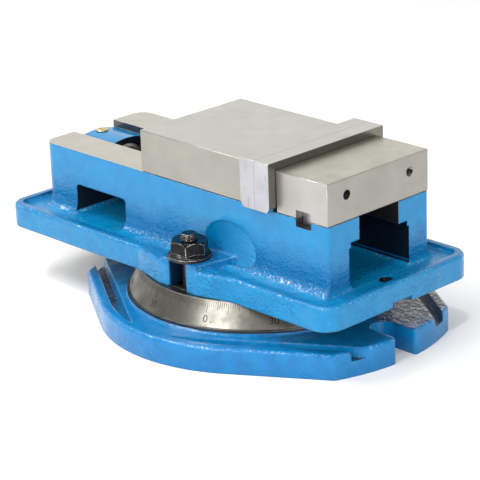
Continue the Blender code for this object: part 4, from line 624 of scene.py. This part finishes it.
def stand_in(mesh, nodes, body, materials):
    """Puts a finished mesh in the scene in place of the named solids."""
    for material in materials:
        mesh.materials.append(material)
    mesh.polygons.foreach_set("use_smooth", [True] * len(mesh.polygons))
    mesh.set_sharp_from_angle(angle=SHARP)
    piece = bpy.data.objects.new(mesh.name, mesh)
    bpy.context.scene.collection.objects.link(piece)
    even = piece.modifiers.new("even_shading", "WEIGHTED_NORMAL")
    even.keep_sharp = True
    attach(piece, body)
    if nodes:
        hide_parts(*nodes)
    return piece


print("corners over", round(math.degrees(SHARP)), "degrees are sharp")

# %% [markdown]
# A wide flat face with only narrow rounded faces beside it has to shade flat, or the curve of its
# edges would bleed over it. A wide face that runs on into another one is part of a big curve.

# %% Dress a solid
WELD = 0.002 * MM
SAME_PLANE = math.radians(0.4)
NARROW = 5 * MM
OPEN_EDGE = 9


def curved(bm):
    """For each face, whether it is to shade smoothly: not if it is wide and only narrow faces,
    those of its rounded edges, run on from it."""
    wide = set()
    for face in bm.faces:
        if face.calc_area() > NARROW * max(edge.calc_length() for edge in face.edges):
            wide.add(face)
    smooth = []
    for face in bm.faces:
        gentle = [edge for edge in face.edges if edge.calc_face_angle(OPEN_EDGE) < SHARP]
        beside = {other for edge in gentle for other in edge.link_faces if other is not face}
        smooth.append(face not in wide or bool(beside & wide))
    return smooth


def dress(node, body, materials, choose=None):
    """A dressed copy of a solid. choose gives the number of the material for each face."""
    bm = bmesh.new()
    bm.from_mesh(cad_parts[node].data)
    bmesh.ops.remove_doubles(bm, verts=bm.verts, dist=WELD)
    bmesh.ops.dissolve_limit(
        bm, angle_limit=SAME_PLANE, verts=bm.verts, edges=bm.edges, delimit={"NORMAL"}
    )
    bm.normal_update()
    smooth = curved(bm)
    if choose:
        for face in bm.faces:
            face.material_index = choose(face.calc_center_median(), face.normal)
    piece = stand_in(finished(bm, f"{node}_dressed"), [node], body, materials)
    piece.data.polygons.foreach_set("use_smooth", smooth)
    print(node, "faces:", len(smooth))
    return piece


# %% [markdown]
# The bed is one casting. Everything is painted except what was machined afterwards: the tops of
# the rails, the slot between them, the key's seat and the keyway underneath. These faces are
# found by where they lie and which way they look, and so are those where the paint is thin, which
# get the dark iron of painted shade. A face looks straight along an axis where that part of its
# unit normal is over 0.9.

# %% Where the bed's surfaces change
PAINT, RAIL, MILLED, CHANNEL, EAR_SLOT, WINDOW = range(6)
STRAIGHT = 0.9
ON_PLANE = 0.2 * MM
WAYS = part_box("fixed_jaw")[0].z - 0.3 * MM
JAW_SLOT_HALF, JAW_SLOT_DEPTH = 26.5 * MM, 21.9 * MM
EAR_FROM, EAR_SLOT_HALF = 74 * MM, 14 * MM
UNDERSIDE_DEPTH = 5 * MM
CHANNEL_HALF, CHANNEL_FLOOR, ROOF_GAP, END_WALL = 60 * MM, 76 * MM, 1 * MM, 30 * MM
WINDOW_LOW, WINDOW_HIGH = Vector((-190, 36, 74)) * MM, Vector((-110, 77, 112)) * MM
KEY_HOLE_SETBACK, KEY_HOLE_RADIUS = 19.5 * MM, 8 * MM
KEY_ROOM = 2
bed_low, bed_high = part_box("bed_casting")
bed_middle = (bed_low.x + bed_high.x) / 2
key_hole_reach = bed_high.x - KEY_HOLE_SETBACK - bed_middle
key_low, key_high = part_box("fixed_jaw_key")
key_low -= Vector((KEY_ROOM, KEY_ROOM, KEY_ROOM)) * MM
key_high += Vector((KEY_ROOM, KEY_ROOM, 0)) * MM
print("rails' tops at", round(WAYS / MM, 1), "mm")

# %% [markdown]
# Each face is given to the first rule that fits it. The machined faces come first, because they
# were cut after the painting, then the places that the spray hardly reached, which are dark as
# painted shade, and what is left is the full blue enamel. A face has one middle and one normal,
# so whole faces change, and their edges are where the real tool stopped or the painted shade
# starts.

# %% Bed casting
def in_window(at, facing):
    """Whether a face lines one of the windows through the bed's sides."""
    if not (WINDOW_LOW.x < at.x < WINDOW_HIGH.x and WINDOW_LOW.y < abs(at.y) < WINDOW_HIGH.y):
        return False
    return WINDOW_LOW.z < at.z < WINDOW_HIGH.z and abs(facing.y) < STRAIGHT and facing.z < 0.3


def bed_finish(at, facing):
    """The material of a face of the bed, by its middle and its normal."""
    if at.z > WAYS - ON_PLANE and facing.z > STRAIGHT:
        return RAIL
    if abs(at.y) < JAW_SLOT_HALF and at.z > WAYS - JAW_SLOT_DEPTH and abs(facing.y) > STRAIGHT:
        return MILLED
    if all(key_low[axis] <= at[axis] <= key_high[axis] for axis in range(3)):
        return MILLED
    if abs(at.y) > EAR_FROM and abs(at.x) < EAR_SLOT_HALF and abs(facing.x) > STRAIGHT:
        return EAR_SLOT
    if at.z < bed_low.z + UNDERSIDE_DEPTH and facing.z < -0.5:
        return MILLED
    inside = abs(at.y) < CHANNEL_HALF and CHANNEL_FLOOR < at.z < WAYS - ROOF_GAP
    if inside and bed_low.x + END_WALL < at.x < bed_high.x - END_WALL and facing.z < 0.5:
        return CHANNEL if at.x > 0 else WINDOW
    if in_window(at, facing):
        return WINDOW
    # The key's hole takes the windows' dark iron, a painted shade.
    from_key_hole = math.hypot(abs(at.x - bed_middle) - key_hole_reach, at.y)
    return WINDOW if from_key_hole < KEY_HOLE_RADIUS and facing.z < 0.95 else PAINT


bed_materials = [BLUE, RAIL_STEEL, DARK_STEEL, SHADED_INSIDE, SHADED_SLOT_WALL, SHADED_WINDOW_WALL]
dress("bed_casting", "vise_bed", bed_materials, bed_finish)

# %% [markdown]
# The base is painted too. Its top is a machined seat for the bed to turn on, with the circular
# T-slot in it, and its underside is machined as well. The trench between the degree ring and the
# rim is darkened with dirt and painted shade.

# %% Swivel base
SEAT, TRENCH_SHADE = 1, 2
SEAT_RADIUS, SEAT_FROM = 106 * MM, 26 * MM
TRENCH_RADIUS, TRENCH_LOW, TRENCH_HIGH = 165 * MM, 15.4 * MM, 21 * MM
base_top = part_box("swivel_base")[1].z


def base_finish(at, facing):
    """The material of a face of the base, by its middle and its normal."""
    if at.z > base_top - ON_PLANE and facing.z > STRAIGHT:
        return SEAT
    if facing.z < -STRAIGHT:
        return SEAT
    if math.hypot(at.x, at.y) < SEAT_RADIUS and at.z > SEAT_FROM:
        return SEAT
    if TRENCH_LOW < at.z < TRENCH_HIGH and math.hypot(at.x, at.y) < TRENCH_RADIUS:
        return TRENCH_SHADE
    return PAINT


dress("swivel_base", "base", [BASE_BLUE, DARK_STEEL, TRENCH], base_finish)

# %% [markdown]
# The degree ring is a lathe job, so it is one here too: its profile is drawn once and spun. With
# 360 steps it is round to the eye, and the marks can be laid on it without a gap.

# %% Degree ring
RING_STEPS = 360
RING_BORE, RING_FLAT, RING_FOOT = 106.3, 114.7, 128.5
LIP = 2.2
ring_low, ring_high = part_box("degree_ring")
top, foot = ring_high.z / MM, ring_low.z / MM
CONE = [(115.5, top - 0.8), (127.1, foot + 2.9)]
RING_PROFILE = [
    (RING_BORE, top),
    (RING_FLAT, top),
    *CONE,
    (CONE[1][0], foot + LIP),
    (RING_FOOT, foot + LIP),
    (RING_FOOT, foot),
    (RING_BORE, foot),
]

bm = bmesh.new()
corners = [bm.verts.new((radius * MM, 0, height * MM)) for radius, height in RING_PROFILE]
edges = [bm.edges.new(pair) for pair in zip(corners, corners[1:] + corners[:1])]
bmesh.ops.spin(
    bm,
    geom=corners + edges,
    axis=(0, 0, 1),
    cent=(0, 0, 0),
    angle=math.tau,
    steps=RING_STEPS,
    use_merge=True,
)
bmesh.ops.remove_doubles(bm, verts=bm.verts, dist=WELD)
bmesh.ops.recalc_face_normals(bm, faces=bm.faces)
ring_mesh = finished(bm, "degree_ring_turned")
stand_in(ring_mesh, ["degree_ring"], "base", [RING_STEEL])
print("ring faces:", len(ring_mesh.polygons))

# %% [markdown]
# The graduations are engraved and filled with black: one line a degree, a longer one each five
# and ten, and a number each thirty. On the computer each line is a thin bar, bent onto the cone
# and standing out by less than a hair. The true lines are 0.2 mm wide. These are 0.4 mm, so that
# they still show.

# %% Degree marks
ZERO_AT = math.radians(-69)
CONE_TOP, CONE_FOOT = (Vector(corner) * MM for corner in CONE)
CONE_LENGTH = (CONE_TOP - CONE_FOOT).length
PROUD = 0.05 * MM
LINE_WIDTH, LINE_START = 0.4 * MM, 0.2 * MM
LINE_ENDS = ((10, 10.5 * MM), (5, 7.5 * MM), (1, 5.2 * MM))


def on_cone(angle, across, down, lift):
    """The point on the cone at this angle, moved across and down it from its top edge."""
    run = CONE_TOP.lerp(CONE_FOOT, down / CONE_LENGTH)
    slope = (CONE_FOOT - CONE_TOP).normalized()
    radius = run.x - slope.y * lift
    angle += across / radius
    return Vector((radius * math.cos(angle), radius * math.sin(angle), run.y + slope.x * lift))


bm = bmesh.new()
for degree in range(360):
    end = next(end for every, end in LINE_ENDS if degree % every == 0)
    angle = ZERO_AT + math.radians(degree)
    for corner in bmesh.ops.create_cube(bm, size=1)["verts"]:
        down = LINE_START if corner.co.y > 0 else end
        corner.co = on_cone(angle, corner.co.x * LINE_WIDTH, down, corner.co.z * 2 * PROUD)
bmesh.ops.recalc_face_normals(bm, faces=bm.faces)
marks_mesh = finished(bm, "degree_lines")
stand_in(marks_mesh, [], "base", [MARK])
print("cone:", round(CONE_LENGTH / MM, 1), "mm down its slope")

# %% [markdown]
# The numbers are stamped below the lines. Text starts as a flat curve: it is turned into a mesh,
# and then each of its points is sent to the same place on the cone that the lines use. A dot
# beside the first 0 marks it as the start.

# %% Degree numbers
NUMERAL_SIZE, NUMERAL_LINE = 9.5 * MM, 20.0 * MM
DOT_ASIDE = 6 * MM


def numeral(text):
    """The flat mesh of a word, with a small thickness."""
    curve = bpy.data.curves.new("numeral", "FONT")
    curve.body = text
    curve.size = NUMERAL_SIZE
    curve.align_x = "CENTER"
    curve.extrude = PROUD
    holder = bpy.data.objects.new("numeral", curve)
    bpy.context.scene.collection.objects.link(holder)
    bpy.context.view_layer.update()
    seen = holder.evaluated_get(bpy.context.evaluated_depsgraph_get())
    mesh = bpy.data.meshes.new_from_object(seen)
    bpy.data.objects.remove(holder)
    bpy.data.curves.remove(curve)
    return mesh


stamps = [(str((0, 30, 60, 90, 60, 30)[step % 6]), 30 * step, 0) for step in range(12)]
bm = bmesh.new()
for text, degree, aside in stamps + [(".", 0, DOT_ASIDE)]:
    flat = numeral(text)
    for vert in flat.vertices:
        angle = ZERO_AT + math.radians(degree)
        vert.co = on_cone(angle, vert.co.x + aside, NUMERAL_LINE - vert.co.y, vert.co.z)
    bm.from_mesh(flat)
    bpy.data.meshes.remove(flat)
bmesh.ops.remove_doubles(bm, verts=bm.verts, dist=WELD)
bmesh.ops.recalc_face_normals(bm, faces=bm.faces)
numbers_mesh = finished(bm, "degree_numbers")
stand_in(numbers_mesh, [], "base", [MARK])
print("numbers:", *[text for text, *_ in stamps])

# %% [markdown]
# The jaws and the plates are plain blocks, and all their character is in the steel. Each face
# takes the steel of its side, painted lighter or darker by the way it faces: a jaw has a top,
# sides and an end, a plate a top, faces and ends.

# %% Jaws and plates
def jaw_finish(at, facing):
    """Top, side or end, by the normal."""
    return 0 if facing.z > STRAIGHT else 2 if facing.x > STRAIGHT else 1


def plate_finish(at, facing):
    """End, face or top, by the normal."""
    return 1 if abs(facing.x) > STRAIGHT else 2 if facing.z > STRAIGHT else 0


plate_materials = [PLATE_END, PLATE_FACE, JAW_TOP]
dress("fixed_jaw", "vise_bed", [FIXED_TOP, FIXED_SIDE, FIXED_END], jaw_finish)
dress("movable_jaw", "movable_jaw", [JAW_TOP, JAW_SIDE, JAW_SIDE], jaw_finish)
dress("fixed_jaw_plate", "vise_bed", plate_materials, plate_finish)
dress("movable_jaw_plate", "movable_jaw", plate_materials, plate_finish)
dress("fixed_jaw_key", "vise_bed", [PLATE_END])

# %% [markdown]
# A screw thread is a short profile that climbs while it turns. Spinning a zigzag by one full turn
# and lifting it by exactly one pitch makes each ridge end where the next one starts, so merging
# the doubled points gives one unbroken helix. Two cuts then square off its ends, and the far end
# is narrowed to a point that leads into a nut.

# %% Threaded rod
TURN_STEPS = 40
TURN_WELD = 0.004 * MM
CUT_AT = 0.001 * MM


def cut_off(bm, at, facing):
    """Cuts away what lies beyond a plane."""
    parts = [*bm.verts, *bm.edges, *bm.faces]
    bmesh.ops.bisect_plane(
        bm, geom=parts, dist=CUT_AT, plane_co=at, plane_no=facing, clear_outer=True
    )


def threaded_rod(radius, pitch, length, ridge, point, hand=1):
    """A bmesh of a threaded rod from the origin up. ridge lists (share of pitch, depth) points."""
    bm = bmesh.new()
    corners = []
    for turn_number in range(-2, math.ceil(length / pitch) + 2):
        for share, depth in ridge:
            corners.append(bm.verts.new((radius - depth, 0, (turn_number + share) * pitch)))
    edges = [bm.edges.new(pair) for pair in zip(corners, corners[1:])]
    bmesh.ops.spin(
        bm,
        geom=corners + edges,
        axis=(0, 0, 1),
        cent=(0, 0, 0),
        dvec=(0, 0, hand * pitch / TURN_STEPS),
        angle=math.tau,
        steps=TURN_STEPS,
    )
    bmesh.ops.remove_doubles(bm, verts=bm.verts, dist=TURN_WELD)
    for height, facing in ((0, -1), (length, 1)):
        cut_off(bm, (0, 0, height), (0, 0, facing))
        rim = [edge for edge in bm.edges if edge.is_boundary]
        near = [all(abs(vert.co.z - height) < pitch / 8 for vert in edge.verts) for edge in rim]
        bmesh.ops.holes_fill(bm, edges=[edge for edge, kept in zip(rim, near) if kept])
    for vert in bm.verts:
        room = radius - max(0.0, vert.co.z - (length - point))
        reach = math.hypot(vert.co.x, vert.co.y)
        if reach > room:
            vert.co.x *= room / reach
            vert.co.y *= room / reach
    bmesh.ops.recalc_face_normals(bm, faces=bm.faces)
    return bm


print("a turn of thread has", TURN_STEPS, "steps")

# %% [markdown]
# The T-bolts hang by their square heads in the base's slot. Each is a forged block with eased
# edges and a threaded stud, and only the stud shows, in the ear's slot and above the nut. Its
# thread is a plain V.

# %% T-bolts
SIDES = ("near", "far")
COARSE_V = [(0.0, 0.0), (0.12, 0.0), (0.5, 1.15 * MM), (0.62, 1.15 * MM)]
STUD_RADIUS, STUD_PITCH, STUD_POINT = 8 * MM, 2 * MM, 1.2 * MM
HEAD_HEIGHT, SUNK, EASED = 11 * MM, 1 * MM, 1 * MM
for side in SIDES:
    low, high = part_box(f"t_bolt_{side}")
    middle = (low + high) / 2
    head_top = low.z + HEAD_HEIGHT
    bm = threaded_rod(STUD_RADIUS, STUD_PITCH, high.z - head_top + SUNK, COARSE_V, STUD_POINT)
    bmesh.ops.translate(bm, verts=bm.verts, vec=(middle.x, middle.y, head_top - SUNK))
    head = bmesh.ops.create_cube(bm, size=1)["verts"]
    bmesh.ops.scale(bm, verts=head, vec=(high.x - low.x, high.y - low.y, HEAD_HEIGHT))
    bmesh.ops.translate(bm, verts=head, vec=(middle.x, middle.y, low.z + HEAD_HEIGHT / 2))
    edges = list({edge for vert in head for edge in vert.link_edges})
    bmesh.ops.bevel(
        bm, geom=edges, offset=EASED, segments=2, profile=0.5, affect="EDGES", material=-1
    )
    mesh = finished(bm, f"t_bolt_{side}_threaded")
    stand_in(mesh, [f"t_bolt_{side}"], "vise_bed", [BLACK])
    print("t bolt", side, "faces:", len(mesh.polygons))

# %% [markdown]
# The nuts and washers keep their solids. A washer is the more rubbed of the two, because the nut
# turns on it.

# %% Nuts and washers
for side in SIDES:
    dress(f"clamp_nut_{side}", f"clamp_nut_{side}", [BLACK])
    dress(f"clamp_washer_{side}", "vise_bed", [WASHER_BLACK])

# %% [markdown]
# The lead screw's working length carries a trapezoid thread of 5.08 mm pitch, five to the inch.
# It runs left-handed, so that turning the crank clockwise closes the jaw. Behind it come the
# thrust collar, the plain journal in its bush and the hexagon for the crank, which are kept from
# the solid.

# %% Lead screw
TRAPEZOID = [(0.0, 0.0), (0.36, 0.0), (0.5, 2.4 * MM), (0.86, 2.4 * MM)]
SCREW_RADIUS, SCREW_PITCH, SCREW_POINT = 16 * MM, 5.08 * MM, 2 * MM
LEFT_HAND = -1
COLLAR_WIDTH, OVERLAP = 8.3 * MM, 0.3 * MM
low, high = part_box("lead_screw")
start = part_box("thrust_race_shaft")[1].x + COLLAR_WIDTH
working = high.x - start
bm = threaded_rod(SCREW_RADIUS, SCREW_PITCH, working, TRAPEZOID, SCREW_POINT, LEFT_HAND)
bmesh.ops.rotate(bm, verts=bm.verts, cent=(0, 0, 0), matrix=Matrix.Rotation(math.pi / 2, 3, "Y"))
bmesh.ops.translate(bm, verts=bm.verts, vec=(start, 0, (low.z + high.z) / 2))
shaft = bmesh.new()
shaft.from_mesh(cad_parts["lead_screw"].data)
bmesh.ops.remove_doubles(shaft, verts=shaft.verts, dist=WELD)
cut_off(shaft, (start + OVERLAP, 0, 0), (1, 0, 0))
bmesh.ops.holes_fill(shaft, edges=[edge for edge in shaft.edges if edge.is_boundary])
bmesh.ops.recalc_face_normals(shaft, faces=shaft.faces)
shaft_mesh = finished(shaft, "shaft")
bm.from_mesh(shaft_mesh)
bpy.data.meshes.remove(shaft_mesh)
mesh = finished(bm, "lead_screw_threaded")
stand_in(mesh, ["lead_screw"], "lead_screw", [BRIGHT_STEEL])
print("lead screw faces:", len(mesh.polygons), "thread, mm:", round(working / MM, 1))

# %% [markdown]
# The rest of the screw's company sits deep in the bridge and the channel, and shows only from
# behind or with the jaw open. It keeps its solids and gets the right metal.

# %% Nut, bearing and hidden fasteners
for node, body, slot, metal in (
    ("jaw_nut", "movable_jaw", "bright_steel", DARK_STEEL),
    ("half_ball", "movable_jaw", "bright_steel", BRIGHT_STEEL),
    ("jaw_adjusting_screw", "movable_jaw", "black_oxide", BLACK),
    ("screw_bush", "vise_bed", "bronze", BRONZE),
    ("thrust_race_housing", "vise_bed", "bright_steel", BRIGHT_STEEL),
    ("thrust_race_shaft", "lead_screw", "bright_steel", BRIGHT_STEEL),
    ("thrust_cage", "lead_screw", "brass", BRASS),
    ("retaining_collar", "lead_screw", "bright_steel", BRIGHT_STEEL),
    ("collar_grub_screw", "lead_screw", "black_oxide", BLACK),
    ("centre_pivot", "base", "bright_steel", BRIGHT_STEEL),
    ("oil_cup", "vise_bed", "brass", BRASS),
):
    dress(node, body, [metal])
for number in range(1, 5):
    dress(f"fixed_jaw_bolt_{number}", "vise_bed", [BLACK])
for side in SIDES:
    dress(f"fixed_plate_screw_{side}", "vise_bed", [BLACK])
    dress(f"movable_plate_screw_{side}", "movable_jaw", [BLACK])

# %% [markdown]
# The balls of the thrust bearing are the one place where facets would give the game away, so each
# is a fresh ball in the place of its coarse solid.

# %% Thrust balls
BALL_RADIUS = 2.9 * MM
for number in range(1, 15):
    low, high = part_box(f"thrust_ball_{number}")
    bm = bmesh.new()
    bmesh.ops.create_uvsphere(bm, u_segments=24, v_segments=14, radius=BALL_RADIUS)
    bmesh.ops.translate(bm, verts=bm.verts, vec=(low + high) / 2)
    mesh = finished(bm, f"thrust_ball_{number}_round")
    stand_in(mesh, [f"thrust_ball_{number}"], "lead_screw", [BRIGHT_STEEL])
print("balls:", number, "of", len(mesh.polygons), "faces")
